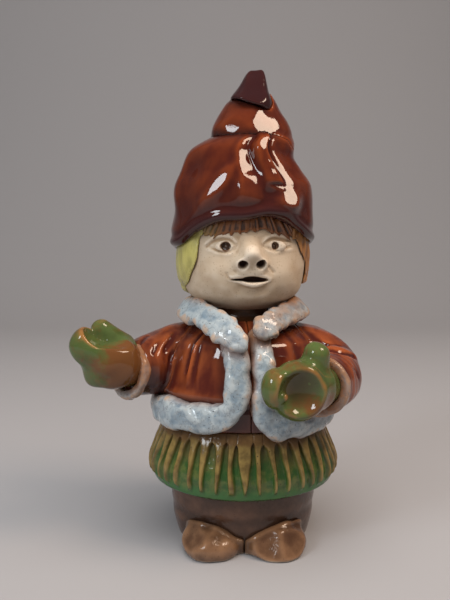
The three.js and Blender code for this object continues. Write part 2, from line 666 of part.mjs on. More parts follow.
const hairRoom = hairForm.room;
const hatRooms = [headForm.room, hairRoom];

add("trousers", "brown_glaze", trousers());
add("boot_right", "boot_glaze", bootForm(-1));
add("boot_left", "boot_glaze", bootForm(1));
add("skirt", "skirt_glaze", trimmed(skirtForm.clay, trouserForm.room));
add("torso", "shirt_glaze", torso());
add("jacket_right", "red_glaze", jacketPanel(-sideSeam, frontOpening));
add("jacket_left", "red_glaze", jacketPanel(frontOpening, sideSeam));
add("jacket_back", "red_glaze", jacketPanel(sideSeam, 360 - sideSeam));
const furRooms = [jacketForm.room, torsoForm.room, skirtForm.room];
add("fur_edge_right", "fur_glaze", trimmed(furRightForm.clay, ...furRooms));
add("fur_edge_left", "fur_glaze", trimmed(furLeftForm.clay, ...furRooms, furRightForm.room));
add("fur_hem_back", "fur_glaze", trimmed(furBackForm.clay, ...furRooms, furRightForm.room, furLeftForm.room));
add("sleeve_right", "red_glaze", trimmed(sleeveRightForm.clay, jacketForm.room, torsoForm.room, furRightForm.room));
add("sleeve_left", "red_glaze", trimmed(sleeveLeftForm.clay, jacketForm.room, torsoForm.room, furLeftForm.room));
const coatRooms = [jacketForm.room, furRightForm.room, furLeftForm.room, skirtForm.room];
add("mitten_right", "green_glaze",
  trimmed(mittenRightForm.clay, sleeveRightForm.room, ...coatRooms, mittenRightPalm));
add("mitten_left", "green_glaze",
  trimmed(mittenLeftForm.clay, sleeveLeftForm.room, ...coatRooms, mittenLeftPalm));
add("thumb_right", "green_glaze",
  trimmed(thumbRightForm.clay, mittenRightForm.room, cuffRightForm.room, sleeveRightForm.room));
add("thumb_left", "green_glaze", trimmed(thumbLeftForm.clay, mittenLeftForm.room, cuffLeftForm.room));
add("cuff_right", "fur_glaze",
  trimmed(cuffRightForm.clay, sleeveRightForm.room, mittenRightForm.room, ...coatRooms));
add("cuff_left", "fur_glaze", trimmed(cuffLeftForm.clay, sleeveLeftForm.room, mittenLeftForm.room, ...coatRooms));
add("head", "bare_clay", head());
add("nose", "bare_clay", nose());
add("hair_fringe", "hair_glaze", hairPiece(-42, 50, headCentre));
add("hair_right", "hair_glaze", hairPiece(-115, -42, hairEnds.right));
add("hair_left", "hair_glaze", hairPiece(50, 115, hairEnds.left));
add("hair_back", "hair_glaze", hairPiece(115, 245, hairEnds.back));
const collarRooms = [jacketForm.room, torsoForm.room, headForm.room, hairRoom];
add("collar_right", "fur_glaze", trimmed(collarRightForm.clay, ...collarRooms, furRightForm.room, furLeftForm.room));
add("collar_left", "fur_glaze", trimmed(collarLeftForm.clay, ...collarRooms, furRightForm.room, furLeftForm.room));
add("collar_back", "fur_glaze",
  trimmed(collarBackForm.clay, ...collarRooms, collarRightForm.room, collarLeftForm.room));
add("hat_dome", "red_glaze", trimmed(domeForm.clay, ...hatRooms));
add("hat_fold", "red_glaze", trimmed(foldForm.clay, domeForm.room));
add("hat_tip", "red_glaze", trimmed(tipForm.clay, foldForm.room));

// The origin is on the table, under the middle of the figure's outline.
const outline = new THREE.Box3().setFromObject(figure);
const middle = outline.getCenter(point(0, 0, 0));
figure.position.set(-middle.x, -middle.y, -outline.min.z);

export default figure;
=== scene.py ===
# The looks of a hand-built stoneware gnome child: modelled clay, combed hair and poured glazes.
import math

import bpy
import numpy as np
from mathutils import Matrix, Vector


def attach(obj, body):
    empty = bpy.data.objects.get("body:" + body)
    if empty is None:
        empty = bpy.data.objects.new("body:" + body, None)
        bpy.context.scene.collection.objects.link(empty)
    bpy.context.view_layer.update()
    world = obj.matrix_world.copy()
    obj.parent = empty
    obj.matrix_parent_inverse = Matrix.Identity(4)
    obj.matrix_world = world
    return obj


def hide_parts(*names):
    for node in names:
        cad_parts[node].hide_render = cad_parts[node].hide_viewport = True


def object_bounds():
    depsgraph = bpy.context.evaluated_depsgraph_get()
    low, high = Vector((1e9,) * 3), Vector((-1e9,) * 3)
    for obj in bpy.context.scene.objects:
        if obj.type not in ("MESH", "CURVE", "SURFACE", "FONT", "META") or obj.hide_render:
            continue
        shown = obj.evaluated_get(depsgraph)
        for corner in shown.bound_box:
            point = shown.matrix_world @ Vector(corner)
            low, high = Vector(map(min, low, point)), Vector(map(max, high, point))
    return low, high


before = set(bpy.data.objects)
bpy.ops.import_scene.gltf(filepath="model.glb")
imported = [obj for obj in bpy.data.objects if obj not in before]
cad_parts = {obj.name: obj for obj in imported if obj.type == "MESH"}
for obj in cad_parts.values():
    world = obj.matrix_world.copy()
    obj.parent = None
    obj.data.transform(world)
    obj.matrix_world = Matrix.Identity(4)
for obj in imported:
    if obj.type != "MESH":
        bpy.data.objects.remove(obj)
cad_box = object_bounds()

MM = 0.001
AXIS = np.array([10.672, 7.233, 0.0])  # the figure's upright axis in the frame, in millimetres
BODY_DEPTH = 0.9  # depth of the thrown body for its width
COARSE = 1.0
AT_A_TIME = 200000  # how many places a form is worked out for at once

# Numbers that start and stop gently


def ease(low, high, value):
    """From 0 to 1 as the value goes from low to high."""
    share = np.clip((value - low) / (high - low), 0, 1)
    return share * share * (3 - 2 * share)


def mix(a, b, share):
    return a + (b - a) * share


def hump(value, centre, width):
    """A rounded hump, 1 high."""
    return np.exp(-(((value - centre) / width) ** 2))


def plateau(value, centre, width):
    """A hump with a flatter top and steeper sides."""
    return np.exp(-(((value - centre) / width) ** 4))


def folds_in(rows, across, up, fade=hump):
    """Soft folds: how high each stands, then its place and width across, then its place and height."""
    return sum(high * hump(across, at, width) * fade(up, middle, tall)
               for high, at, width, middle, tall in rows)


def apart(bearing, other):
    """How far one bearing is from another, from -180 to 180 degrees."""
    return (bearing - other + 180) % 360 - 180


def curve(*pairs):
    """A smooth curve through (place, value) pairs."""
    at = np.array([p[0] for p in pairs], float)
    values = np.array([p[1] for p in pairs], float)
    low = np.maximum(np.arange(len(at)) - 1, 0)
    high = np.minimum(np.arange(len(at)) + 1, len(at) - 1)
    slopes = (values[high] - values[low]) / (at[high] - at[low])

    def read(place):
        place = np.asarray(place, float)
        i = np.clip(np.searchsorted(at, place) - 1, 0, len(at) - 2)
        span = at[i + 1] - at[i]
        t = np.clip((place - at[i]) / span, 0, 1)
        u = 1 - t
        return (values[i] * u * u * (1 + 2 * t) + values[i + 1] * t * t * (3 - 2 * t)
                + span * t * u * (slopes[i] * u - slopes[i + 1] * t))

    return read


def path(keys, count):
    """Evenly spaced rows on a smooth curve through the rows of a table."""
    rows = np.array(keys, float)
    place = np.linspace(0, len(rows) - 1, count)
    i = np.minimum(place.astype(int), len(rows) - 2)
    f = (place - i)[:, None]
    a, b, c, d = (rows[np.clip(i + k, 0, len(rows) - 1)] for k in (-1, 0, 1, 2))
    return 0.5 * (2 * b + (c - a) * f + (2 * a - 5 * b + 4 * c - d) * f**2 + (3 * b - a - 3 * c + d) * f**3)


# Clay: a form is a distance to its skin, in millimetres, below zero inside the clay


def lump(P, centre, size):
    """A rounded lump."""
    q = (P - np.array(centre, float)) / np.array(size, float)
    near = np.linalg.norm(q, axis=1)
    return near * (near - 1) / np.maximum(np.linalg.norm(q / np.array(size, float), axis=1), 1e-6)


def roll(P, start, end, start_radius, end_radius):
    """A roll between two places, with round ends."""
    start, end = np.array(start, float), np.array(end, float)
    way = end - start
    t = np.clip((P - start) @ way / (way @ way), 0, 1)
    return np.linalg.norm(P - start - t[:, None] * way, axis=1) - mix(start_radius, end_radius, t)


def limb(P, keys, count=22):
    """A roll along a smooth path of [x, y, z, radius] keys."""
    rows = path(keys, count)
    form = np.full(len(P), 1e3)
    for a, b in zip(rows[:-1], rows[1:]):
        form = np.minimum(form, roll(P, a[:3], b[:3], a[3], b[3]))
    return form


def weld(a, b, soft):
    """Two lumps joined, with the joint smoothed over."""
    h = np.clip(0.5 + 0.5 * (b - a) / soft, 0, 1)
    return mix(b, a, h) - soft * h * (1 - h)


def press(clay, tool, soft):
    """Clay with a tool pressed into it."""
    return -weld(-clay, tool, soft)


def within(a, b, soft):
    """The part of one form that is inside another."""
    return -weld(-a, -b, soft)


def stroke(P, keys, width, depth):
    """A groove drawn along a path of [x, y, z] keys: how much clay it takes away."""
    return depth * np.exp(-((limb(P, [(*k, 0) for k in keys], 10) / width) ** 2))


def dents(P, length, depth, seed):
    """The slight unevenness that fingers leave."""
    chance = np.random.default_rng(seed)
    total = np.zeros(len(P))
    for _ in range(7):
        way = chance.normal(size=3)
        way *= 2 * math.pi / (np.linalg.norm(way) * length * chance.uniform(0.7, 1.5))
        total += np.sin(P @ way + chance.uniform(0, 2 * math.pi))
    return depth * total / 3


def around(P, depth=BODY_DEPTH, middle=0.0):
    """How far out from the upright axis each place lies, and its bearing from the front."""
    x, y = P[:, 0] - middle, P[:, 1] / depth
    return np.hypot(x, y), np.degrees(np.arctan2(x, -y))


# Meshes


def mesh_of(name, verts, faces):
    """A smooth mesh from places in the figure's millimetres."""
    mesh = bpy.data.meshes.new(name)
    places = (np.asarray(verts, float) + AXIS) * MM
    faces = np.asarray(faces, np.int32)
    corners = faces.shape[1]
    mesh.vertices.add(len(places))
    mesh.vertices.foreach_set("co", places.ravel())
    mesh.loops.add(faces.size)
    mesh.loops.foreach_set("vertex_index", faces.ravel())
    mesh.polygons.add(len(faces))
    mesh.polygons.foreach_set("loop_start", np.arange(0, faces.size, corners, dtype=np.int32))
    mesh.polygons.foreach_set("loop_total", np.full(len(faces), corners, np.int32))
    mesh.polygons.foreach_set("use_smooth", np.ones(len(faces), bool))
    mesh.update(calc_edges=True)
    return mesh


def places_of(mesh):
    """The mesh's places in millimetres."""
    places = np.zeros(len(mesh.vertices) * 3, np.float32)
    mesh.vertices.foreach_get("co", places)
    return places.reshape(-1, 3).astype(float) / MM


def write_attribute(mesh, name, values):
    """Writes a number on each of the mesh's places."""
    attribute = mesh.attributes.get(name) or mesh.attributes.new(name, "FLOAT", "POINT")
    attribute.data.foreach_set("value", np.asarray(values, np.float32))


def repeated(values, times):
    """Each value of a block repeated a number of times along all three axes."""
    return values.repeat(times, 0).repeat(times, 1).repeat(times, 2)


def grid_values(form, low, size, cell):
    """The form on a grid of places, worked out in full only near the skin."""
    block = 4  # cells along each side of a block that is looked at as a whole
    blocks = np.ceil(np.array(size) / (cell * block)).astype(int)
    count = blocks * block + 1
    axes = [low[a] + cell * np.arange(count[a]) for a in range(3)]
    middles = [low[a] + cell * block * (np.arange(blocks[a]) + 0.5) for a in range(3)]
    coarse = form(np.stack(np.meshgrid(*middles, indexing="ij"), -1).reshape(-1, 3)).reshape(blocks)
    values = np.pad(repeated(coarse, block), (0, 1), "edge")
    near = repeated(np.abs(coarse) < 1.5 * block * cell, block)
    busy = np.zeros(count, bool)
    for step in np.ndindex(2, 2, 2):
        busy[tuple(slice(k, k + m) for k, m in zip(step, near.shape))] |= near
    places = np.array(low) + cell * np.argwhere(busy)
    parts = np.array_split(places, max(1, len(places) // AT_A_TIME))
    values[busy] = np.concatenate([form(part) for part in parts])
    return values


def skin(form, low, high, cell):
    """The places and four-cornered faces of a form's skin, in the box from low to high."""
    low = np.array(low, float) - 2 * cell
    size = np.array(high, float) + 2 * cell - low
    values = grid_values(form, low, size, cell)
    inside = values < 0
    filled = 0
    for step in np.ndindex(2, 2, 2):
        corner = tuple(slice(k, inside.shape[a] - 1 + k) for a, k in enumerate(step))
        filled = filled + inside[corner].astype(np.int8)
    cells = np.argwhere((filled > 0) & (filled < 8))
    total = np.zeros((len(cells), 3))
    crossings = np.zeros(len(cells))
    for a in map(np.array, np.ndindex(2, 2, 2)):
        for axis in range(3):
            if a[axis]:
                continue
            b = a.copy()
            b[axis] = 1
            va, vb = values[tuple((cells + a).T)], values[tuple((cells + b).T)]
            cut = (va < 0) != (vb < 0)
            t = np.where(cut, va / np.where(cut, va - vb, 1), 0)
            total += np.where(cut[:, None], a + t[:, None] * (b - a), 0)
            crossings += cut
    verts = low + cell * (cells + total / crossings[:, None])
    number = np.full(np.array(inside.shape) - 1, -1)
    number[tuple(cells.T)] = np.arange(len(cells))
    faces = []
    for axis in range(3):
        u, v = (axis + 1) % 3, (axis + 2) % 3
        here = [slice(1, -1)] * 3
        here[axis] = slice(0, -1)
        there = list(here)
        there[axis] = slice(1, None)
        one, two = inside[tuple(here)], inside[tuple(there)]
        for flip, crossing in ((False, one & ~two), (True, ~one & two)):
            at = np.argwhere(crossing)
            at[:, u] += 1
            at[:, v] += 1
            ring = []
            for du, dv in ((-1, -1), (0, -1), (0, 0), (-1, 0)):
                near = at.copy()
                near[:, u] += du
                near[:, v] += dv
                ring.append(number[tuple(near.T)])
            ring = np.stack(ring, 1)
            faces.append(ring[:, ::-1] if flip else ring)
    faces = np.concatenate(faces)
    for _ in range(2):
        verts = drawn(form, verts, 0.5 * cell)
    return verts, faces


def drawn(form, verts, limit):
    """Places moved on to the form's skin, none further than the limit."""
    nudge = 0.05  # how far to each side the form's slope is felt, in millimetres
    slope = np.stack([(form(verts + d) - form(verts - d)) / (2 * nudge) for d in np.eye(3) * nudge], 1)
    off = form(verts) / np.maximum((slope**2).sum(1), 0.05)
    move = off[:, None] * slope
    size = np.linalg.norm(move, axis=1)
    return verts - move * np.minimum(1, limit / np.maximum(size, 1e-9))[:, None]


finished = {}  # the pieces by name


def keep_piece(name, mesh, nodes, slot):
    """Makes a finished piece, with its CAD nodes and its place on the body."""
    piece = bpy.data.objects.new(name + "_fired", mesh)
    bpy.context.scene.collection.objects.link(piece)
    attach(piece, "root")
    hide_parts(*nodes)
    finished[piece.name] = piece


def modelled(name, form, low, high, cell, slot, glaze):
    """A piece modelled by hand from its form, in the box from low to high."""
    verts, faces = skin(form, low, high, cell * COARSE)
    mesh = mesh_of(name + "_fired", verts, faces)
    mesh.materials.append(glaze)
    keep_piece(name, mesh, [name], slot)
# Glazes and bare clay. Each piece carries two attributes: "ridge", above zero where the clay stands
# out and the glaze runs thin, and "pool_and_shade", from 0 to 1 in the gutters between two pieces,
# where glaze pools and painted shade darkens the colour.


def opaque(colour):
    """A colour (red, green, blue) with its fourth number; a socket stays as it is."""
    return (*colour, 1) if isinstance(colour, tuple) else colour


class Flow:
    """A number that flows through a node tree: sums and products with it set out maths nodes."""

    def __init__(self, bench, socket):
        self.bench = bench
        self.socket = socket

    def __add__(self, other):
        return self.bench.math("ADD", self, other)

    def __sub__(self, other):
        return self.bench.math("SUBTRACT", self, other)

    def __rsub__(self, other):
        return self.bench.math("SUBTRACT", other, self)

    def __mul__(self, other):
        return self.bench.math("MULTIPLY", self, other)

    def __rtruediv__(self, other):
        return self.bench.math("DIVIDE", other, self)

    def __truediv__(self, other):
        return self.bench.math("DIVIDE", self, other)

    def __pow__(self, other):
        return self.bench.math("POWER", self, other)

    def __abs__(self):
        return self.bench.math("ABSOLUTE", self)


class Bench:
    """Sets out nodes in a tree and wires them."""

    def __init__(self, tree):
        self.tree = tree

    def join(self, value, socket):
        self.tree.links.new(value.socket if isinstance(value, Flow) else value, socket)

    def add(self, kind, values=None, **settings):
        node = self.tree.nodes.new(kind)
        for key, value in settings.items():
            setattr(node, key, value)
        for socket, value in (values or {}).items():
            if isinstance(value, (Flow, bpy.types.NodeSocket)):
                self.join(value, node.inputs[socket])
            else:
                node.inputs[socket].default_value = value
        return node

    def math(self, operation, a, b=0.0, clamp=False):
        node = self.add("ShaderNodeMath", {0: a, 1: b}, operation=operation, use_clamp=clamp)
        return Flow(self, node.outputs[0])

    def between(self, value, low, high):
        """From 0 to 1 as the value goes from low to high."""
        node = self.add("ShaderNodeMapRange", {"Value": value, "From Min": low, "From Max": high},
                        interpolation_type="SMOOTHSTEP")
        return Flow(self, node.outputs[0])

    def mix(self, share, a, b):
        """From the first colour to the second; a colour is a socket or (red, green, blue)."""
        return self.add("ShaderNodeMix", {0: share, 6: opaque(a), 7: opaque(b)}, data_type="RGBA").outputs[2]

    def layered(self, colour, *layers):
        """A colour with others laid over it, each where its mask says."""
        for mask, over in layers:
            colour = self.mix(mask, colour, over)
        return colour

    def attribute(self, name):
        return Flow(self, self.add("ShaderNodeAttribute", attribute_name=name).outputs["Fac"])

    def place(self):
        return self.add("ShaderNodeTexCoord").outputs["Object"]

    def along(self, axis):
        """How far a place lies along X or Z."""
        return Flow(self, self.add("ShaderNodeSeparateXYZ", {0: self.place()}).outputs[axis])

    def noise(self, where, size, detail=2.0, stretch=None, roughness=0.55):
        """Noise whose blotches are about that size in millimetres."""
        if stretch:
            where = self.add("ShaderNodeMapping", {"Vector": where, "Scale": stretch}).outputs[0]
        values = {"Vector": where, "Scale": 1000 / size, "Detail": detail, "Roughness": roughness}
        return Flow(self, self.add("ShaderNodeTexNoise", values).outputs["Fac"])

    def bump(self, height, strength, distance):
        """The way the skin faces, from a height and its distance in millimetres."""
        values = {"Height": height, "Strength": strength, "Distance": distance * MM}
        return self.add("ShaderNodeBump", values).outputs[0]


def named_outputs(bench, node):
    """What comes out of a node, by name."""
    return {socket.name: Flow(bench, socket) if socket.type == "VALUE" else socket for socket in node.outputs}


def group(name, inputs, outputs):
    """A new group of shader nodes: the tree, its bench, its inputs by name and its output sockets."""
    tree = bpy.data.node_groups.new(name, "ShaderNodeTree")
    for label, kind, value in inputs:
        tree.interface.new_socket(label, in_out="INPUT", socket_type=kind).default_value = value
    for label, kind in outputs:
        tree.interface.new_socket(label, in_out="OUTPUT", socket_type=kind)
    bench = Bench(tree)
    return tree, bench, named_outputs(bench, bench.add("NodeGroupInput")), bench.add("NodeGroupOutput").inputs


COLOUR, NUMBER = "NodeSocketColor", "NodeSocketFloat"


def glaze_break_group():
    """Glaze that runs thin on the ridges, lies thick in the hollows and pools in the gutters, with painted
    shade there too.
    """
    tree, bench, given, result = group("glaze_break", [
        ("Thin", COLOUR, (0.4, 0.15, 0.05, 1)), ("Thick", COLOUR, (0.1, 0.02, 0.01, 1)),
        ("Pool", COLOUR, (0.03, 0.01, 0.01, 1)), ("Level", NUMBER, 0.3), ("Softness", NUMBER, 0.4),
        ("Mottle", NUMBER, 0.5), ("Mottle size", NUMBER, 5.0)], [("Colour", COLOUR)])
    where = bench.place()
    cloud = bench.noise(where, given["Mottle size"], 3) - 0.5
    runs = bench.noise(where, given["Mottle size"], 2, (1.6, 1.6, 0.35)) - 0.5
    cloud = (cloud + runs) * given["Mottle"]
    level, softness = given["Level"], given["Softness"]
    thin = bench.between(bench.attribute("ridge") + cloud, level - softness, level + softness)
    # The gutter colour is partly glaze pooling and partly painted shade.
    pool_and_shade = bench.math("ADD", bench.attribute("pool_and_shade"), cloud * 0.5, clamp=True)
    colour = bench.mix(thin, given["Thick"], given["Thin"])
    bench.join(bench.mix(pool_and_shade, colour, given["Pool"]), result["Colour"])
    return tree


def pinhole_group():
    """Scattered pinholes and specks of iron."""
    tree, bench, given, result = group(
        "pinholes", [("Apart", NUMBER, 2.5), ("Size", NUMBER, 0.12), ("Share", NUMBER, 0.5)],
        [("Mask", NUMBER), ("Height", NUMBER)])
    cells = bench.add("ShaderNodeTexVoronoi", {"Vector": bench.place(), "Scale": 1000 / given["Apart"]})
    chance = bench.add("ShaderNodeSeparateColor", {0: cells.outputs["Color"]}).outputs[0]
    dot = bench.between(cells.outputs["Distance"], given["Size"] * 1.5, given["Size"])
    mask = dot * bench.math("LESS_THAN", chance, given["Share"])
    bench.join(mask, result["Mask"])
    bench.join(mask * -1, result["Height"])
    return tree


def hand_marks_group():
    """The soft waves of a poured glaze, and the fine skin on it."""
    tree, bench, given, result = group(
        "hand_marks", [("Wave", NUMBER, 5.0), ("Fine", NUMBER, 0.6), ("Fine share", NUMBER, 0.1)],
        [("Height", NUMBER)])
    where = bench.place()
    fine = bench.noise(where, given["Fine"], 2) * given["Fine share"]
    bench.join(bench.noise(where, given["Wave"], 1) + fine, result["Height"])
    return tree


GLAZE_BREAK, PINHOLES, HAND_MARKS = glaze_break_group(), pinhole_group(), hand_marks_group()


class Finish(Bench):
    """A new material with its shader, which uses the groups above."""

    def __init__(self, name, **values):
        self.material = bpy.data.materials.new(name)
        self.material.use_nodes = True
        super().__init__(self.material.node_tree)
        self.shader = self.tree.nodes["Principled BSDF"]
        self.set(self.shader, values)

    def set(self, node, values):
        """Sets or wires a node's inputs by name, with a _ for each space."""
        for label, value in values.items():
            socket = node.inputs[label.replace("_", " ")]
            if isinstance(value, (Flow, bpy.types.NodeSocket)):
                self.join(value, socket)
            else:
                socket.default_value = opaque(value)

    def use(self, tree, **values):
        """What a group gives, with its inputs set."""
        node = self.add("ShaderNodeGroup", node_tree=tree)
        self.set(node, values)
        return named_outputs(self, node)

    def fired(self, **values):
        """Wires the shader and hands over the material."""
        self.set(self.shader, values)
        return self.material


def poured_glaze(name, thin, thick, pool_and_shade, level, softness, mottle, size, roughness=0.03, specks=None,
                 crust_and_shade=(0.030, 0.008, 0.009), stain=None):
    """A glossy glaze over clay, as on the cap, the jacket and the mittens."""
    glaze = Finish(name, Roughness=roughness)
    colour = glaze.use(GLAZE_BREAK, Thin=thin, Thick=thick, Pool=pool_and_shade, Level=level, Softness=softness,
                       Mottle=mottle, Mottle_size=size)["Colour"]
    if stain:
        patch = glaze.noise(glaze.place(), 10, 4, roughness=0.65) + glaze.attribute("rubbed")
        colour = glaze.mix(glaze.between(patch, 0.46, 0.78), colour, stain)
    # The crust colour is thick glaze on the brim, and painted shade on the tip, the sleeve's end, the
    # mitten's hollow and between the jacket's fur edges.
    colour = glaze.mix(glaze.attribute("heavy_and_shade"), colour, crust_and_shade)
    height = glaze.use(HAND_MARKS, Wave=7.0, Fine=0.7, Fine_share=0.05)["Height"]
    if specks:
        dots = glaze.use(PINHOLES, Apart=2.4, Size=0.08, Share=0.2)
        colour = glaze.mix(dots["Mask"], colour, specks)
        height = height + dots["Height"] * 0.12
    return glaze.fired(Base_Color=colour, Normal=glaze.bump(height, 0.6, 0.3))


def bisque():
    """Bare buff stoneware, sandy to the touch, with glaze dropped in the eyes."""
    clay = Finish("bisque")
    where = clay.place()
    ridge, drop = clay.attribute("ridge"), clay.attribute("drop")
    grain = clay.noise(where, 0.5, 3, roughness=0.7)
    sand = clay.use(PINHOLES, Apart=0.9, Size=0.22, Share=0.35)
    stain = clay.between(clay.noise(where, 11, 3), 0.42, 0.68)
    glassy = clay.mix(clay.between(drop, 0.4, 1.0), (0.19, 0.09, 0.04), (0.045, 0.022, 0.012))
    colour = clay.layered(
        (0.55, 0.44, 0.325),
        (stain, (0.47, 0.35, 0.24)),
        # Lighter on ridges and darker in hollows: painted highlight and painted shade on the bare clay.
        (clay.between(ridge, 0.1, 0.9), (0.70, 0.59, 0.47)),
        (clay.between(ridge, -0.15, -0.9), (0.33, 0.22, 0.13)),
        (grain * 0.35, (0.42, 0.32, 0.22)),
        (sand["Mask"] * 0.5, (0.30, 0.21, 0.14)),
        # Darker in the gutters between pieces: painted shade.
        (clay.attribute("pool_and_shade") * 0.35, (0.25, 0.15, 0.08)),
        # Near black inside the mouth and the nostrils: painted shade.
        (clay.attribute("inside"), (0.035, 0.012, 0.007)),
        (clay.between(drop, 0.05, 0.35), glassy))
    height = (grain + sand["Height"] * 0.5) * (1 - drop)
    return clay.fired(Base_Color=colour, Roughness=0.88 - drop * 0.83, Normal=clay.bump(height, 0.7, 0.14))


def fur_glaze():
    """A thick white glaze, blue-green where it lies thick, with pinholes, and rusty at its thin edges."""
    glaze = Finish("fur_glaze", Roughness=0.07)
    where = glaze.place()
    ridge = glaze.attribute("ridge")
    blotch = glaze.between(glaze.noise(where, 5.5, 4, roughness=0.65), 0.38, 0.72)
    blue = glaze.between(glaze.noise(where, 2.6, 4, roughness=0.7), 0.60, 0.74)
    wander = (glaze.noise(where, 3.2, 3) - 0.5) * 1.1
    tea = glaze.attribute("tea") * glaze.between(glaze.noise(where, 6, 3), 0.15, 0.8)
    vein = glaze.between(abs(glaze.noise(where, 4, 3) - 0.5), 0.022, 0.0)
    holes = glaze.use(PINHOLES, Apart=1.9, Size=0.09, Share=0.3)
    colour = glaze.layered(
        (0.30, 0.345, 0.37),
        (blotch, (0.155, 0.215, 0.265)),
        (blue, (0.11, 0.20, 0.28)),
        (glaze.between(ridge + wander, 0.75, 1.15), (0.44, 0.22, 0.09)),
        (glaze.between(ridge - wander, 0.2, 0.6) * 0.4, (0.52, 0.55, 0.54)),
        (glaze.between(ridge, -0.12, -0.6) * 0.75, (0.20, 0.27, 0.30)),
        (tea, (0.30, 0.165, 0.09)),
        (glaze.attribute("pool_and_shade") * 0.9, (0.26, 0.10, 0.035)),
        (vein * 0.45, (0.13, 0.13, 0.13)),
        (holes["Mask"], (0.05, 0.05, 0.06)))
    height = glaze.use(HAND_MARKS, Wave=3.8, Fine=0.8, Fine_share=0.06)["Height"] + holes["Height"] * 0.3
    return glaze.fired(Base_Color=colour, Normal=glaze.bump(height, 0.9, 0.8))


def skirt_glaze():
    """Green glaze wiped off the ridges, under a brown band."""
    glaze = Finish("skirt_glaze", Roughness=0.14)
    where = glaze.place()
    rise = glaze.along("Z")
    cloud = glaze.noise(where, 8, 4) - 0.5
    wiped = glaze.between(glaze.attribute("groove") + cloud * 1.4, 0.7, 0.1)
    high = glaze.between(rise + cloud * 0.012, 0.036, 0.046)
    band = glaze.between(rise + cloud * 0.010, 0.0455, 0.0485)
    hem = glaze.between(rise + cloud * 0.006, 0.031, 0.0275)
    specks = glaze.use(PINHOLES, Apart=2.2, Size=0.1, Share=0.25)
    spots = glaze.between(glaze.noise(where, 5, 3), 0.35, 0.7)
    ochre = glaze.mix(spots, (0.25, 0.165, 0.05), (0.12, 0.076, 0.025))
    brown = glaze.mix(glaze.between(cloud, -0.1, 0.2), (0.10, 0.05, 0.017), (0.17, 0.092, 0.032))
    colour = glaze.layered(
        (0.030, 0.080, 0.019),
        (glaze.between(glaze.noise(where, 4, 3), 0.35, 0.7), (0.098, 0.120, 0.030)),
        (high * 0.7, (0.085, 0.055, 0.020)),
        (wiped, ochre),
        (band, brown),
        (hem * 0.85, (0.030, 0.108, 0.027)),
        # Darker in the gutters between pieces: glaze pooling and painted shade.
        (glaze.attribute("pool_and_shade") * 0.7, (0.07, 0.035, 0.015)),
        (specks["Mask"], (0.06, 0.04, 0.02)))
    height = glaze.use(HAND_MARKS, Wave=3.0, Fine=0.6, Fine_share=0.2)["Height"]
    return glaze.fired(Base_Color=colour, Normal=glaze.bump(height, 0.7, 0.35))


def hair_glaze(name, light, dark, root, left=None):
    """A translucent glaze that lies darker in the combed grooves, with painted shade in the gutters."""
    glaze = Finish(name, Roughness=0.2)
    where = glaze.place()
    strands = glaze.noise(where, 2.2, 4, (2.8, 2.8, 0.25))
    level = glaze.attribute("ridge") + (strands - 0.5)
    colour = glaze.mix(glaze.between(level, -0.35, 0.4), dark, light)
    if left:
        colour = glaze.mix(glaze.between(glaze.along("X"), 0.004, -0.012) * 0.85, colour, left)
    # The root colour in the gutters under the cap and beside the face is painted shade.
    colour = glaze.mix(glaze.attribute("pool_and_shade") * 0.35, colour, root)
    height = strands + glaze.noise(where, 5, 2) * 0.5
    return glaze.fired(Base_Color=colour, Normal=glaze.bump(height, 0.8, 0.35))


CLAY_FOOT = (0.42, 0.33, 0.24)  # bare clay where the foot was wiped clean of glaze


def thin_wash(name, light, dark, roughness, low=None, relief=0.8):
    """A thin brown wash over sandy clay, as on the trousers, the boots and the shirt."""
    wash = Finish(name, Roughness=roughness)
    level = wash.attribute("ridge") * relief + wash.noise(wash.place(), 9, 4)
    colour = wash.mix(wash.between(level, 0.3, 0.9), dark, light)
    sand = wash.use(PINHOLES, Apart=1.3, Size=0.16, Share=0.3)
    # Darker in the gutters between pieces: wash lying thick and painted shade.
    colour = wash.layered(colour, (sand["Mask"] * 0.4, tuple(0.5 * c for c in dark)),
                          (wash.attribute("pool_and_shade") * 0.75, tuple(0.35 * c for c in dark)))
    if low:
        colour = wash.mix(wash.between(wash.along("Z"), 0.0012, 0.0004), colour, low)
    height = wash.use(HAND_MARKS, Wave=4.0, Fine=0.7, Fine_share=0.5)["Height"]
    return wash.fired(Base_Color=colour, Normal=wash.bump(height, 0.7, 0.25))


COAT = poured_glaze("coat_glaze", (0.34, 0.08, 0.022), (0.075, 0.012, 0.007), (0.025, 0.007, 0.006),
                    0.36, 0.8, 1.7, 9.0)
RED = poured_glaze("red_brown_glaze", (0.20, 0.038, 0.009), (0.056, 0.008, 0.004), (0.02, 0.005, 0.005),
                   0.42, 0.9, 1.3, 11.0)
GREEN = poured_glaze("green_glaze", (0.33, 0.15, 0.045), (0.075, 0.108, 0.030), (0.03, 0.030, 0.010),
                     1.15, 0.6, 1.8, 9.0, roughness=0.05, specks=(0.03, 0.03, 0.02),
                     crust_and_shade=(0.050, 0.034, 0.011), stain=(0.135, 0.052, 0.016))
BISQUE = bisque()
FUR = fur_glaze()
SKIRT = skirt_glaze()
BROWN = thin_wash("trouser_glaze", (0.12, 0.057, 0.034), (0.05, 0.023, 0.014), 0.14, CLAY_FOOT)
BOOT = thin_wash("boot_glaze", (0.24, 0.125, 0.065), (0.08, 0.037, 0.019), 0.07, CLAY_FOOT, 0.3)
SHIRT = thin_wash("shirt_glaze", (0.22, 0.095, 0.033), (0.10, 0.038, 0.015), 0.15)
FRINGE = hair_glaze("fringe_glaze", (0.175, 0.06, 0.018), (0.040, 0.013, 0.005), (0.04, 0.016, 0.007),
                    (0.30, 0.22, 0.08))
LOCK_RIGHT = hair_glaze("yellow_lock_glaze", (0.57, 0.50, 0.155), (0.34, 0.30, 0.08), (0.18, 0.15, 0.05))
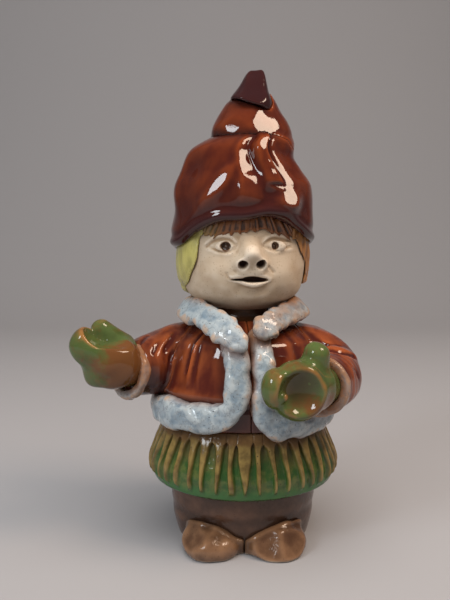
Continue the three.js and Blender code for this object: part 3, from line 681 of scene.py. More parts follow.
LOCK_LEFT = hair_glaze("brown_lock_glaze", (0.50, 0.23, 0.075), (0.22, 0.09, 0.028), (0.09, 0.04, 0.015))
HAIR_BACK = hair_glaze("hair_back_glaze", (0.44, 0.33, 0.10), (0.22, 0.15, 0.045), (0.08, 0.05, 0.02))


# The body, thrown hollow

SKIRT_LOW, SKIRT_TOP, WAIST = 24.5, 51.7, 52
FOOT_WALL = 5
CHEST_SHOULDER = 66  # height where the hollow of the chest starts to close
OFF_CHEST = 0.3  # how far the head and the jacket are kept off the chest
JACKET_THICK = 4.5  # from the chest's skin to the jacket's
# Half widths across, by height
trouser_line = curve((0, 28.5), (9.8, 30.95), (24.5, 32), (52, 31))
torso_line = curve((52, 31), (69, 31), (85.5, 26), (90.6, 19.5), (94.9, 12.05), (100, 10.5))


def jacket_line(z):
    return torso_line(z) + JACKET_THICK


def trousers_clay(P):
    """The thrown foot: creased above the boots, hollow from below, with a small arch between the boots."""
    z = P[:, 2]
    out, bearing = around(P)
    crease = 0.5 * hump(z, 13.5, 2.4) * ease(120, 60, abs(bearing))
    wall = out - trouser_line(z) + dents(P, 26, 0.22, 3) + crease
    wall = within(wall, np.maximum(-z, z - SKIRT_TOP), 0.8)
    hollow = np.maximum(out - trouser_line(z) + FOOT_WALL, z - 60)
    arch = np.maximum(np.hypot(P[:, 0], z + 3) - 6, P[:, 1])
    return press(press(wall, hollow, 0.8), arch, 0.8)


def torso_skin(P):
    out, _ = around(P)
    return out - torso_line(P[:, 2])


def torso_clay(P):
    """The chest and the neck, hollow from below."""
    z = P[:, 2]
    out, _ = around(P)
    dome = lump(P, (0, 0, CHEST_SHOULDER), (26.5, 23.9, 18.2))
    shaft = np.maximum(out - 26.2, z - CHEST_SHOULDER)
    wall = within(torso_skin(P) + dents(P, 20, 0.15, 5), np.maximum(WAIST - z, z - 100), 0.6)
    return press(wall, np.minimum(dome, shaft), 0.6)


# The head

HEAD_CENTRE = np.array([0, 0, 119.0])
HEAD_SIZE = (26.4, 25.5)  # half across and half deep
HEAD_BELOW, HEAD_ABOVE = 21.5, 33.0  # how far it reaches below and above its middle
FACE_TURN = math.radians(5)
TURN = np.array([[math.cos(FACE_TURN), -math.sin(FACE_TURN), 0],
                 [math.sin(FACE_TURN), math.cos(FACE_TURN), 0],
                 [0, 0, 1]])


def swell(way, size, spread, towards):
    """A swelling towards one direction."""
    towards = np.array(towards, float)
    return size * np.exp(-((way - towards / np.linalg.norm(towards)) ** 2).sum(-1) / spread**2)


def face_shape(way):
    """How far the cheeks stand out and the eyes lie back, by direction from the head's middle."""
    return (swell(way, 1.2, 0.32, (0.55, -0.78, -0.3)) + swell(way, 1.2, 0.32, (-0.55, -0.78, -0.3))
            - swell(way, 0.9, 0.2, (0.4, -0.9, 0.16)) - swell(way, 0.9, 0.2, (-0.4, -0.9, 0.16)))


def jowl(w):
    """How much wider the head is low down, by height from -1 to 1."""
    return 1 + 0.17 * hump(w, -0.8, 0.35)


def head_skin(P, lift=0.0):
    """The head without its features, swollen by a lift."""
    Q = (P - HEAD_CENTRE) @ TURN
    tall = np.where(Q[:, 2] > 0, HEAD_ABOVE, HEAD_BELOW)
    wide = jowl(np.clip(Q[:, 2] / tall, -1, 1))
    q = Q / np.stack([HEAD_SIZE[0] * wide, HEAD_SIZE[1] * wide, tall], 1)
    near = np.maximum(np.linalg.norm(q, axis=1), 1e-6)
    return np.linalg.norm(Q, axis=1) * (1 - 1 / near) - face_shape(q / near[:, None]) - lift


def face_spot(across, up, lift=0.0):
    """A place on the face, from its distance across and above the middle."""
    tall = HEAD_ABOVE if up > 0 else HEAD_BELOW
    u, w = across / HEAD_SIZE[0], up / tall
    way = np.array([u, -math.sqrt(1 - u * u - w * w), w])
    spot = np.array([HEAD_SIZE[0] * jowl(w), HEAD_SIZE[1] * jowl(w), tall]) * way
    return TURN @ (spot + way * (float(face_shape(way)) + lift)) + HEAD_CENTRE


def plane(P, inner, *corners):
    """Below zero on the side of the plane through three corners where the inner place lies."""
    a, b, c = (np.array(k, float) for k in corners)
    out = np.cross(b - a, c - a)
    out /= np.linalg.norm(out)
    return (P - a) @ (out if (np.array(inner) - a) @ out < 0 else -out)


def drawn_on_face(P, spots, width, depth):
    """A groove drawn on the face, from [across, up] spots."""
    return stroke(P, [face_spot(*spot) for spot in spots], width, depth)


def lip(P, keys):
    """A lip laid on, from [across, up, out, radius] keys."""
    return limb(P, [(*face_spot(a, b, c), r) for a, b, c, r in keys], 14)


# A snub nose: how far across, up and out its lumps lie, and their sizes.
NOSE_TIP, NOSE_WING = (0.3, 3.0, 1.5, 3.5), (3.7, 0.0, 0.2, 2.5)
NOSE_SOFT = 3.0  # how softly the nose runs into the face


def nose_clay(P):
    across, up, out, size = NOSE_WING
    wings = [lump(P, face_spot(0.4 + side * across, up, out), (size, 3.4, size)) for side in (-1, 1)]
    across, up, out, size = NOSE_TIP
    ball = lump(P, face_spot(across, up, out), (size, 3.4, size))
    bridge = roll(P, face_spot(0.2, 5, -1.4), face_spot(0.1, 10, -3), 3.2, 2.4)
    nose = weld(weld(weld(wings[0], wings[1], 2), ball, 3), bridge, 3.5)
    low, high, side = face_spot(0.4, -3.1, 0.2), face_spot(0.4, 2.4, 4.6), face_spot(5, -3.1, 0.2)
    return within(nose, plane(P, face_spot(0.4, 5, 0), low, high, side), 1.2)


# Almond eyes: rows of places along the upper and the lower lid, from the figure's right to its left.
UPPER_LIDS = [[(-17, 6.6), (-14.2, 8.9), (-11, 9.7), (-8, 9.2), (-5.8, 7.2)],
              [(5.4, 7.2), (7.2, 8.9), (10, 9.9), (13.4, 9.4), (17.6, 8.6)]]
LOWER_LIDS = [[(-16, 6.4), (-12.6, 4.9), (-9, 4.6), (-6, 6.2)],
              [(5.6, 6.8), (8, 5.9), (10.8, 5), (14, 5.8), (17.4, 6.6)]]
# The pricked pupils: across, up, half width.
PUPILS = [(-9.9, 6.9, 2.15), (10.4, 7.0, 1.5)]


def features(P):
    """The head before anything is pressed in: lids, brows and lips laid on."""
    face = head_skin(P) + dents(P, 15, 0.16, 11) + dents(P, 5, 0.06, 12)
    for upper, lower, pupil in zip(UPPER_LIDS, LOWER_LIDS, PUPILS):
        face = weld(face, lump(P, face_spot(pupil[0] + 0.4, pupil[1], -1.0), (4.6, 1.8, 2.5)), 1.0)
        face -= drawn_on_face(P, [(a, b + 1.3) for a, b in upper], 0.9, 0.35)
        face -= drawn_on_face(P, [(a, b - 1.0) for a, b in lower], 0.8, 0.2)
    face += drawn_on_face(P, [(-4.6, 10), (-4.4, 7.5), (-5.4, 5.5)], 1.7, 0.8)
    face += drawn_on_face(P, [(4.6, 9.5), (4.6, 7.5), (5.4, 6)], 1.4, 0.4)
    face = weld(face, lip(P, [(-7.4, -5.6, -0.6, 0.6), (-3.6, -4.3, -0.5, 1.2), (0.4, -3.6, -0.3, 1.3),
                              (4, -4.2, -0.5, 1.2), (7.4, -6.0, -0.6, 0.6)]), 1.8)
    face = weld(face, lip(P, [(-5.2, -7.0, -0.8, 0.6), (-2, -8.0, -0.2, 1.1), (1.4, -8.5, 0.1, 1.25),
                              (4.4, -8.0, -0.2, 1.1), (7.0, -6.8, -0.8, 0.6)]), 1.1)
    return face + drawn_on_face(P, [(-4, -10.2), (1, -11.2), (5, -10.3)], 2.2, 0.7)


def marked(P, face):
    """The lid lines, the pupils, the mouth and the nostrils pressed into a face."""
    for upper, lower, pupil in zip(UPPER_LIDS, LOWER_LIDS, PUPILS):
        face = face + drawn_on_face(P, upper, 0.6, 1.0) + drawn_on_face(P, lower, 0.5, 0.6)
        across, up, half = pupil
        face = press(face, lump(P, face_spot(across, up, 0.4), (half, 1.9, 1.6)), 0.5)
        face = weld(face, lump(P, face_spot(across, up, -0.95 * half), np.full(3, 0.8 * half)), 0.3)
    face = face + drawn_on_face(P, [(-9.3, -3.9), (-8.7, -5.2), (-7.6, -5.9)], 0.45, 0.5)
    face = face + drawn_on_face(P, [(6, -0.2), (7.6, -1.8), (9, -3.4)], 0.7, 0.45)
    for across, up, half, tall in ((-2.4, -6.2, 5.6, 0.6), (0.9, -6.1, 4.6, 1.35), (3.4, -6.3, 3.8, 0.95)):
        face = press(face, lump(P, face_spot(across, up, 0.8), (half, 4.4, tall)), 0.3)
    for side in (-1, 1):
        low, high = face_spot(0.4 + side * 3.5, -2.4, 5.0), face_spot(0.4 + side * 3.2, 1.0, 0.4)
        face = press(face, roll(P, low, high, 2.3, 1.9), 0.35)
    return face


def head_clay(P):
    """The head, with its features in front of the middle and plain behind it."""
    head = head_skin(P) + dents(P, 15, 0.16, 11)
    front = P[:, 1] < -8
    head[front] = marked(P[front], features(P[front]))
    return press(head, torso_skin(P) - OFF_CHEST, 0.4)


def nose_piece(P):
    """The nose, drawn out thin on to the face round it."""
    face = features(P)
    return within(marked(P, weld(face + 0.07, nose_clay(P), NOSE_SOFT)), -face - 0.5, 0.1)


# The hair, a skin of clay combed with a comb

HAIR_TOP = 142
# The edge of the hair round the face: across, and up from the head's middle.
FACE_OPENING = np.array([
    [-27, -40], [-25.4, -13.5], [-22.8, -8.7], [-21.1, -3.5], [-19.2, 2], [-18.4, 6.5], [-17.5, 9.6],
    [-10.7, 10.6], [-6.7, 10.9], [-3.5, 11.4], [2, 12], [6.8, 13], [10, 11.8], [14.3, 10.5], [17.2, 9.5],
    [20.6, 9], [22.4, 6.4], [23.8, 3], [25, 0], [26, -4.6], [27, -9], [28.5, -40]])


def opening(P):
    """Below zero in front of the face, where the hair is cut back unevenly."""
    x, z = P[:, 0], P[:, 2] - HEAD_CENTRE[2]
    near = np.full(len(P), 1e3)
    inside = np.zeros(len(P), bool)
    for (ax, az), (bx, bz) in zip(FACE_OPENING, np.roll(FACE_OPENING, -1, 0)):
        wx, wz = bx - ax, bz - az
        t = np.clip(((x - ax) * wx + (z - az) * wz) / (wx * wx + wz * wz), 0, 1)
        near = np.minimum(near, np.hypot(x - ax - t * wx, z - az - t * wz))
        inside ^= ((az > z) != (bz > z)) & (x < wx * (z - az) / np.where(wz == 0, 1e-9, wz) + ax)
    return np.maximum(np.where(inside, -near, near), P[:, 1] + 3)


def combed(bearing, z, seed, strands, fan):
    """Grooves that run down with the hair, no two alike."""
    spread = np.radians(bearing) * (1 + fan * (z - HAIR_TOP) / 10)
    chance = np.random.default_rng(seed)
    total = 0
    for _ in range(8):
        turns = strands * chance.uniform(0.4, 2.0)
        sway = 0.6 * np.sin(z * chance.uniform(0.1, 0.3) + chance.uniform(0, 6))
        total = total + np.cos(spread * turns + sway + chance.uniform(0, 6))
    return total / 3.4


def beyond(P, bearing, start, end, gap):
    """How far a place is outside the wedge from one bearing to another, and half the gap beside it."""
    turn = abs(apart(bearing, (start + end) / 2)) - (end - start) / 2
    return turn * np.pi / 180 * np.hypot(P[:, 0], P[:, 1]) + gap


def hair_clay(start, end, low, seed, strands, depth, fan=0.0, ragged=0.12):
    """Combed hair from one bearing to another, down to a height, cut ragged round the face."""
    def form(P):
        bearing = apart(around(P, 1.0)[1], 0)
        z = P[:, 2]
        relief = depth * np.minimum(combed(bearing, z, seed, strands, fan), 1.5) * ease(100, 106, z)
        gap = opening(P)
        hair = head_skin(P) - mix(0.6, 2.4, ease(0, 6, gap)) + relief + dents(P, 14, 0.2, seed)
        hair = press(hair, gap + ragged * combed(bearing, z, seed + 20, 0.4 * strands, fan), 0.9)
        hair = within(hair, np.maximum(beyond(P, bearing, start, end, 0.15), z - HAIR_TOP), 0.4)
        under_cap = dome_skin(P) + 1.0 - 6 * ease(1.0, -2.0, z - brim_at(bearing))
        hair = within(hair, under_cap, 0.3)
        hair = within(hair, low + 1.1 * np.sin(np.radians(bearing) * 9 + seed) - z, 1.6)
        return press(hair, head_skin(P) - 0.2, 0.3)
    return form


# The cap: a dome with a rolled brim, a fold standing on it and a bent tip

HAT_DEPTH = 0.94
brim_at = curve((-180, 118), (-130, 121), (-90, 124.5), (-60, 126), (-39, 131.8), (-20, 135.2), (0, 135.8),
                (20, 137.3), (43, 133.3), (64, 128.5), (90, 126.5), (130, 122), (180, 118))
hat_half = curve((112, 28), (118, 29.4), (131.2, 30.6), (140.9, 29.5), (150.6, 28.8), (156.6, 25.8),
                 (163, 22.7), (166.1, 21.2), (169.2, 18.5), (172, 14), (175, 8))
hat_middle = curve((118, -0.5), (150.6, -0.3), (156.6, -1.2), (163, -2), (166.1, -1), (169.2, 1.4),
                   (172, 2.8))
# The drooping pillow on the dome's front. Across, from the valley on its right at 0 to the groove on its
# left at 0.85, and up, how much more upright it stands than the dome.
pillow_across = curve((-0.75, 0), (-0.58, 0.45), (-0.45, 0.85), (-0.36, 0.62), (-0.03, -0.6), (0.06, -0.7),
                      (0.16, -0.4), (0.3, 0.35), (0.45, 0.8), (0.66, 0.7), (0.77, 0), (0.85, -0.5),
                      (1.16, 0.35), (1.26, 0.45), (1.45, 0.3), (1.8, 0))
pillow_up = curve((142, 0), (146, -1.7), (149, -0.6), (152, 0.6), (157, 2.0), (163, 3.6), (166, 4.0),
                  (169, 3.4), (172, 0))
# Two flats on the cap's front, where it was stroked with a finger and a thumb, and the ways they face.
STROKED, THUMBED = (-0.325, -0.894, 0.309), (0.386, -0.828, 0.407)
CAP_WALL = 0.9  # the cap is at least this thick over the head


def dome_skin(P):
    """The dome with its soft folds, a rolled brim and two flats."""
    z = P[:, 2]
    out, bearing = around(P, HAT_DEPTH, hat_middle(z))
    turn = apart(bearing, 0)
    valley = 8 + 0.19 * np.clip(163 - z, -5, 22)
    share = (turn - valley) / (22 + 0.4 * np.clip(166 - z, 0, 26))
    folds = pillow_across(share) * ease(140, 147, z) * ease(172, 167, z)
    folds += pillow_up(z) * ease(0.02, 0.34, share) * ease(0.9, 0.7, share)
    folds += folds_in([(4.4, 36, 11, 143, 5.5), (1.0, -34, 14, 142, 7), (1.1, 6, 9, 145.5, 4)], turn, z)
    for at, width, high in ((-50, 13, -0.8), (110, 14, -0.9), (165, 18, -1.1), (-118, 16, -1),
                            (-70, 9, 0.7), (64, 12, 0.7), (-150, 14, 0.8), (136, 14, 0.9)):
        folds += high * hump(apart(bearing, at), 0, width) * ease(134, 148, z) * ease(168, 158, z)
    folds += 1.9 * hump(turn + 26, (z - 146) * 1.5, 7) * plateau(z, 150, 8.5)
    folds += 2.4 * ease(90, 130, abs(turn)) * ease(138, 124, z)
    rim = z - brim_at(turn)
    folds += 0.5 * hump(rim, 1.8, 2.0) - 0.45 * hump(rim, 5.2, 1.7)
    form = out - hat_half(z) - folds + dents(P, 20, 0.3, 21)
    thumbed = (P - (11.5, -24.4, 150.6)) @ THUMBED - 3 * ease(149.5, 152.5, z)
    stroked = (P - (-10.5, -26.3, 150.3)) @ STROKED
    return within(within(form, thumbed, 0.4), stroked, 0.7)


fold_half = curve((158, 13), (162, 15.4), (166, 16.9), (170, 17.5), (174, 17.1), (178, 15.3), (182, 12.8),
                  (186, 10.3), (189, 7.2), (191.6, 3))
fold_middle = curve((161, 3), (174, 3.1), (184, 3.2), (188.5, 3.8), (191, 4.4))
fold_back = curve((161, 0), (174, 0.4), (182, 1.6), (190, 2.6))


def fold_skin(P):
    """The part of the cap that is folded over, which leans and carries the flats on."""
    lean = 2.6 / 18 * np.clip(1 - (P[:, 2] - 161) / 26, 0, 1)
    z = P[:, 2] + lean * P[:, 0]
    x, y = P[:, 0] - fold_middle(z), (P[:, 1] - fold_back(z)) / HAT_DEPTH
    turn = np.degrees(np.arctan2(x, -y))
    folds = folds_in([(-0.9, 33, 16, 178, 7), (0.6, -38, 18, 179, 8), (-0.7, -84, 12, 176, 8)],
                     turn, z, plateau)
    folds += 0.7 * hump(turn, 120, 22) + 0.6 * hump(turn, -130, 20) - 0.8 * hump(turn, 165, 16)
    form = np.hypot(x, y) - fold_half(z) - folds + dents(P, 14, 0.25, 22)
    thumbed = (P - (9.65, -12.75, 173.3)) @ THUMBED
    stroked = (P - (-2.35, -15.05, 172.8)) @ STROKED
    return within(within(within(form, thumbed, 0.7), stroked, 0.5), 165.8 - z, 4.2)


def smooth_side(P):
    """From 0 where a crease parts the fold from the dome to 1 where the two run into each other."""
    _, bearing = around(P, HAT_DEPTH, 3)
    return ease(22, 46, bearing) * ease(172, 140, bearing)


def hat_parts(P):
    """The dome, the fold and the two together."""
    dome, fold = dome_skin(P), fold_skin(P)
    return dome, fold, weld(dome, fold, mix(0.9, 4.0, smooth_side(P)))


def dome_clay(P):
    _, bearing = around(P, HAT_DEPTH)
    dome, fold, hat = hat_parts(P)
    form = within(hat, brim_at(apart(bearing, 0)) - P[:, 2], 3.4)
    return press(within(form, dome - fold, 0.1), np.maximum(head_skin(P, 2.7), hat + CAP_WALL), 0.8)


def fold_clay(P):
    dome, fold, hat = hat_parts(P)
    return press(within(hat, fold - dome, 0.1), tip_skin(P) - 0.1, 0.5)


tip_half = curve((180, 9), (184, 9.4), (187, 8.4), (190, 6.8), (193, 5.5), (196.6, 4.1), (199, 2.4),
                 (200.6, 0))
tip_middle = curve((182, 2.2), (187, 2.9), (192.5, 4), (197, 4.7), (199, 5.2))
tip_back = curve((182, -3.4), (187, -2.8), (192.5, -1.2), (199, 0.2))


def tip_skin(P):
    """The tip, bent forwards, flattened in front and cut off underneath."""
    z = P[:, 2]
    out = np.hypot(P[:, 0] - tip_middle(z), P[:, 1] - tip_back(z)) - tip_half(z)
    front = plane(P, (4, 0, 188), (-6, -10.8, 187), (11.5, -12.6, 181), (4.6, -1.9, 198))
    front += 0.2 - 0.3 * np.exp(-(((P - (3.5, -9, 188)) / (5, 9, 5)) ** 2).sum(1))
    under = 186.2 - 0.34 * (P[:, 0] + 5.1) - z
    form = within(within(out, front, 0.4), within(under, z - 198.9, 0.8), 1.0)
    return form + dents(P, 8, 0.2, 23)


# The jacket and its sleeves

# Places along the middle of each arm, and its radius there
RIGHT_ARM = [(-14, 0, 78, 14), (-25, -0.5, 78, 14.4), (-36, -5, 75.6, 13.6), (-46, -13.5, 74.6, 11)]
LEFT_ARM = [(14, 0, 78, 14), (26, -0.5, 77.6, 14.2), (34, -6, 73.6, 14), (35.8, -16, 71, 12.6),
            (30, -29.5, 71, 11)]
FRONT_SEAM, SIDE_SEAM = 4, 100
ARM_SOFT = 3.0  # how softly the sleeves run into the jacket


def on_jacket(bearing, z, lift=0.0):
    """A place on the jacket's outside, and the way the jacket faces there."""
    rise = jacket_line(z + 0.5) - jacket_line(z - 0.5)
    b = math.radians(bearing)
    facing = np.array([BODY_DEPTH * math.sin(b), -math.cos(b), -rise])
    facing /= np.linalg.norm(facing)
    reach = float(jacket_line(z))
    return np.array([reach * math.sin(b), -BODY_DEPTH * reach * math.cos(b), z]) + lift * facing, facing


def jacket_skin(P):
    """The jacket with its soft creases."""
    z = P[:, 2]
    out, bearing = around(P)
    turn = apart(bearing, 0)
    folds = folds_in([(-1.5, -44, 2.4, 84, 9), (-0.7, -36, 2.4, 79, 8), (0.9, -40, 3, 81, 10),
                      (0.6, -22, 13, 77, 11), (-0.7, 42, 4, 80, 12), (0.5, 34, 5, 78, 12)], turn, z, plateau)
    for at, high in ((118, -0.8), (140, 0.6), (160, -0.7), (184, 0.6), (205, -0.8), (228, 0.6), (246, -0.7)):
        folds += high * hump(apart(bearing, at + 6 * np.sin(z / 14 + at)), 0, 8) * plateau(z, 72, 16)
    folds += 0.8 * hump(z, 66, 2.4) - 0.7 * hump(z, 62.4, 1.8)
    form = out - jacket_line(z) - folds + dents(P, 17, 0.2, 31)
    return within(form, np.maximum(WAIST - z, z - 94.5), 1.5)


def sleeve(P, arm, uneven, wrist, facing, creases):
    """A creased sleeve along an arm, cut off a little past the wrist. A crease below zero stands out."""
    form = limb(P, arm) + dents(P, *uneven)
    for line, width, depth in creases:
        form += stroke(P, line, width, depth)
    facing = np.array(facing) / np.linalg.norm(facing)
    return within(form, (P - np.array(wrist)) @ facing - 0.4, 1.4)


def sleeve_right_skin(P):
    return sleeve(P, RIGHT_ARM, (11, 0.3, 32), (-46.6, -14, 73.4), (-0.74, -0.66, 0.1), [
        ([(-27, -13.5, 84), (-31, -15.5, 78), (-32.5, -15, 70)], 1.3, 1.3),
        ([(-34, -14.5, 88), (-37.5, -18, 81), (-38.5, -18.5, 72)], 1.2, 0.8),
        ([(-29, -10, 90.5), (-31, -13.5, 85.5), (-36.5, -17, 78.5)], 1.1, 0.6),
        ([(-41, -10, 88), (-43.5, -16.5, 84), (-45, -20.5, 76)], 1.2, 0.6),
        ([(-31.5, -11.5, 89.5), (-35.5, -16.5, 83), (-36, -18, 75)], 2.0, -0.5)])


def sleeve_left_skin(P):
    return sleeve(P, LEFT_ARM, (12, 0.3, 33), (29.4, -30.6, 71), (-0.3, -0.95, 0.04), [
        ([(27.5, -10.5, 90), (33, -14, 84.5), (39, -13.5, 83)], 1.2, 1.1),
        ([(34, -19, 83.5), (40, -20, 82), (46, -14, 79.5)], 1.0, 0.9),
        ([(43, -24, 76), (46, -20, 70), (44.5, -17, 62)], 1.1, 0.8),
        ([(36, -18, 85.5), (42, -16, 83), (46.5, -11, 79)], 2.0, -0.5)])


def sleeve_clay(sleeve_skin):
    """A sleeve smoothed on to the jacket, parted where the two meet."""
    def form(P):
        jacket = jacket_skin(P)
        arm = sleeve_skin(P)
        coat = press(weld(jacket, arm, ARM_SOFT), torso_skin(P) - OFF_CHEST, 0.3)
        return within(coat, arm - jacket - 0.1, 0.3)
    return form


def jacket_clay(P):
    jacket = jacket_skin(P)
    arms = np.minimum(sleeve_right_skin(P), sleeve_left_skin(P))
    coat = weld(jacket, arms, ARM_SOFT)
    return press(within(coat, jacket - arms - 0.1, 0.3), torso_skin(P) - OFF_CHEST, 0.3)


def panel_clay(start, end):
    """A slab of the jacket from one bearing to another."""
    def form(P):
        return within(jacket_clay(P), beyond(P, around(P)[1], start, end, 0.1), 0.3)
    return form


# The mittens, pinched into cupped hands

LEFT_PALM = (20.9, -52.4, 72.6), (9.2, 8.2, 10.2)  # the hollow of the left mitten: its middle and size


def mitten_right_clay(P):
    wrist = roll(P, (-44, -12, 74.6), (-51, -18, 77.6), 8.6, 9.4)
    hand = lump(P, (-54.6, -21, 78.8), (11.6, 9.6, 11))
    fingers = lump(P, (-62.4, -24, 86), (7.6, 7.4, 8.2))
    heel = lump(P, (-59.6, -21, 74.4), (5.4, 6, 6))
    form = weld(weld(weld(wrist, hand, 3), fingers, 3), heel, 1.6)
    palm = roll(P, (-55.5, -25.6, 93.8), (-45, -26, 91.6), 8.6, 6.5)
    form = press(form + dents(P, 9, 0.25, 41), palm, 1.4)
    form += stroke(P, [(-66, -30, 80), (-61, -30.5, 76.5), (-55, -29, 73)], 1.6, 0.9)
    return press(form, sleeve_right_skin(P) - 0.25, 0.3)


def smeared(thumb, mitten):
    """A thumb whose foot is smoothed out over the mitten."""
    return within(weld(mitten + 0.07, thumb, 2.6), -mitten - 0.4, 0.1)


def thumb_right_clay(P):
    form = roll(P, (-50.6, -14.2, 84.4), (-59.2, -15, 91.4), 5.2, 4.2) + dents(P, 7, 0.2, 42)
    return smeared(form, mitten_right_clay(P))


def mitten_left_clay(P):
    wrist = roll(P, (29.6, -28, 71), (26, -36, 72), 8.8, 9.4)
    hand = lump(P, (19.4, -42, 72.2), (11.4, 9.6, 11.6))
    fingers = lump(P, (10.6, -46, 74), (5.4, 6.4, 7.8))
    form = weld(weld(wrist, hand, 3), fingers, 2.2) + dents(P, 9, 0.25, 43)
    form = press(form, lump(P, *LEFT_PALM), 2.0)
    form = weld(form, roll(P, (11, -48, 70.5), (13.6, -48.5, 71.2), 2.4, 1.6), 1.2)
    form += stroke(P, [(7, -51, 68), (10.5, -52, 66), (13.5, -52, 66.5)], 1.2, 0.9)
    return press(form, sleeve_left_skin(P) - 0.25, 0.3)


def thumb_left_clay(P):
    form = roll(P, (25.6, -37, 77.4), (26.8, -38.4, 85.2), 6.6, 4.9) + dents(P, 7, 0.2, 44)
    return smeared(form, mitten_left_clay(P))


# The boots

boot_top = curve((0, 6.3), (9, 8.1), (20, 11.2), (40, 12.2), (58, 9.5), (75, 5.5), (90, 1))
RIGHT, LEFT = -1, 1
# The flats that the potter's fingers left on each toe, by three corners.
TOE_FLATS = {RIGHT: [((-17.3, -29, 10.5), (-24.6, -28.6, 3.2), (-24.5, -17, 11.5))],
             LEFT: [((15, -31.5, 8), (7, -33, 2.5), (16, -36, 0.5)),
                    ((15, -31.5, 8), (22.8, -31, 1.5), (16, -36, 0.5))]}


def boot_clay(side):
    """A boot: a rounded toe, and an upper that thins out towards the back."""
    def form(P):
        toe = lump(P, (side * 13.4, -22.2, 3.6), (12.4, 13.8, 8.4))
        for corners in TOE_FLATS[side]:
            toe = within(toe, plane(P, (side * 13, -20, 3), *corners), 0.7)
        out, bearing = around(P)
        turn = abs(apart(bearing, 0))
        thick = 1.8 - 2.6 * ease(34, 70, turn)
        upper = within(out - trouser_line(P[:, 2]) - thick, P[:, 2] - boot_top(turn), 1.2)
        upper = within(upper, (turn - 84) * 0.5, 2.0)
        clay = weld(toe, upper, 2.4) + dents(P, 8, 0.3, 50 + side)
        clay = within(clay, np.maximum(0.15 - side * P[:, 0], -P[:, 2]), 1.0)
        return press(clay, out - trouser_line(P[:, 2]) - 0.2, 0.3)
    return form


# Everything that is modelled by hand: its form, the box round it, how fine, its slot and its glaze

for name, form, low, high, cell, slot, glaze in (
        ("trousers", trousers_clay, (-33, -30, 0), (33, 30, 52), 0.75, "brown_glaze", BROWN),
        ("torso", torso_clay, (-32, -29, 52), (32, 29, 100), 0.8, "shirt_glaze", SHIRT),
        ("head", head_clay, (-30, -30, 97), (30, 28, 153), 0.42, "bare_clay", BISQUE),
        ("nose", nose_piece, (-5, -34, 114), (10, -20, 129), 0.3, "bare_clay", BISQUE),
        ("hair_fringe", hair_clay(-42, 50, 119, 1, 90, 0.2, fan=0.3, ragged=0.7),
         (-24, -30, 124), (26, -8, 142.5), 0.34, "hair_glaze", FRINGE),
        ("hair_right", hair_clay(-115, -42, 105.5, 2, 14, 0.3),
         (-31, -26, 103), (-11, 18, 142.5), 0.45, "hair_glaze", LOCK_RIGHT),
        ("hair_left", hair_clay(50, 115, 110, 3, 22, 0.35),
         (12, -24, 107), (31, 18, 142.5), 0.45, "hair_glaze", LOCK_LEFT),
        ("hair_back", hair_clay(115, 245, 102, 4, 22, 0.45),
         (-30, 4, 99), (30, 31, 142.5), 0.5, "hair_glaze", HAIR_BACK),
        ("hat_dome", dome_clay, (-34, -33, 115), (33, 32, 175), 0.55, "red_glaze", RED),
        ("hat_fold", fold_clay, (-18, -21, 160), (24, 20, 194), 0.5, "red_glaze", RED),
        ("hat_tip", tip_skin, (-8, -12, 180), (14, 12, 200), 0.4, "red_glaze", RED),
        ("jacket_right", panel_clay(-SIDE_SEAM, FRONT_SEAM),
         (-38, -35, 51), (5, 10, 96), 0.5, "red_glaze", COAT),
        ("jacket_left", panel_clay(FRONT_SEAM, SIDE_SEAM),
         (0, -35, 51), (38, 10, 96), 0.5, "red_glaze", COAT),
        ("jacket_back", panel_clay(SIDE_SEAM, 360 - SIDE_SEAM),
         (-38, 2, 51), (38, 35, 96), 0.6, "red_glaze", COAT),
        ("sleeve_right", sleeve_clay(sleeve_right_skin),
         (-56, -30, 58), (-12, 18, 95), 0.5, "red_glaze", COAT),
        ("sleeve_left", sleeve_clay(sleeve_left_skin),
         (12, -38, 56), (52, 18, 95), 0.5, "red_glaze", COAT),
        ("mitten_right", mitten_right_clay, (-72, -34, 64), (-40, -4, 97), 0.4, "green_glaze", GREEN),
        ("thumb_right", thumb_right_clay, (-65, -21, 77), (-44, -7, 97), 0.4, "green_glaze", GREEN),
        ("mitten_left", mitten_left_clay, (4, -54, 58), (38, -26, 86), 0.4, "green_glaze", GREEN),
        ("thumb_left", thumb_left_clay, (18, -45, 69), (34, -29, 92), 0.4, "green_glaze", GREEN),
        ("boot_right", boot_clay(RIGHT), (-35, -37, 0), (0.5, -2, 13), 0.45, "boot_glaze", BOOT),
        ("boot_left", boot_clay(LEFT), (-0.5, -37, 0), (35, -2, 13), 0.45, "boot_glaze", BOOT)):
    modelled(name, form, low, high, cell, slot, glaze)


# The fur: coils of clay laid along a path, and the skirt: a ring with pleats pressed into it


def geometry_tree(name, inputs):
    """A new tree that works on a form, with a material called Clay as its last input."""
    tree = bpy.data.node_groups.new(name, "GeometryNodeTree")
    tree.is_modifier = True
    tree.interface.new_socket("Geometry", in_out="INPUT", socket_type="NodeSocketGeometry")
    for label, kind, value in inputs:
        tree.interface.new_socket(label, in_out="INPUT", socket_type=kind).default_value = value
    tree.interface.new_socket("Clay", in_out="INPUT", socket_type="NodeSocketMaterial")
    tree.interface.new_socket("Geometry", in_out="OUTPUT", socket_type="NodeSocketGeometry")
    bench = Bench(tree)
    return tree, bench, named_outputs(bench, bench.add("NodeGroupInput"))


def fired_form(bench, form, clay):
    """Ends a tree: the form made smooth and real, in its clay."""
    smooth = bench.add("GeometryNodeSetShadeSmooth", {0: form}).outputs[0]
    real = bench.add("GeometryNodeRealizeInstances", {0: smooth}).outputs[0]
    done = bench.add("GeometryNodeSetMaterial", {"Geometry": real, "Material": clay}).outputs[0]
    bench.join(done, bench.add("NodeGroupOutput").inputs[0])


def vector(bench, operation, a, b):
    """A sum, difference or dot product of two vectors."""
    node = bench.add("ShaderNodeVectorMath", {0: a, 1: b}, operation=operation)
    return Flow(bench, node.outputs["Value"]) if operation == "DOT_PRODUCT" else node.outputs["Vector"]


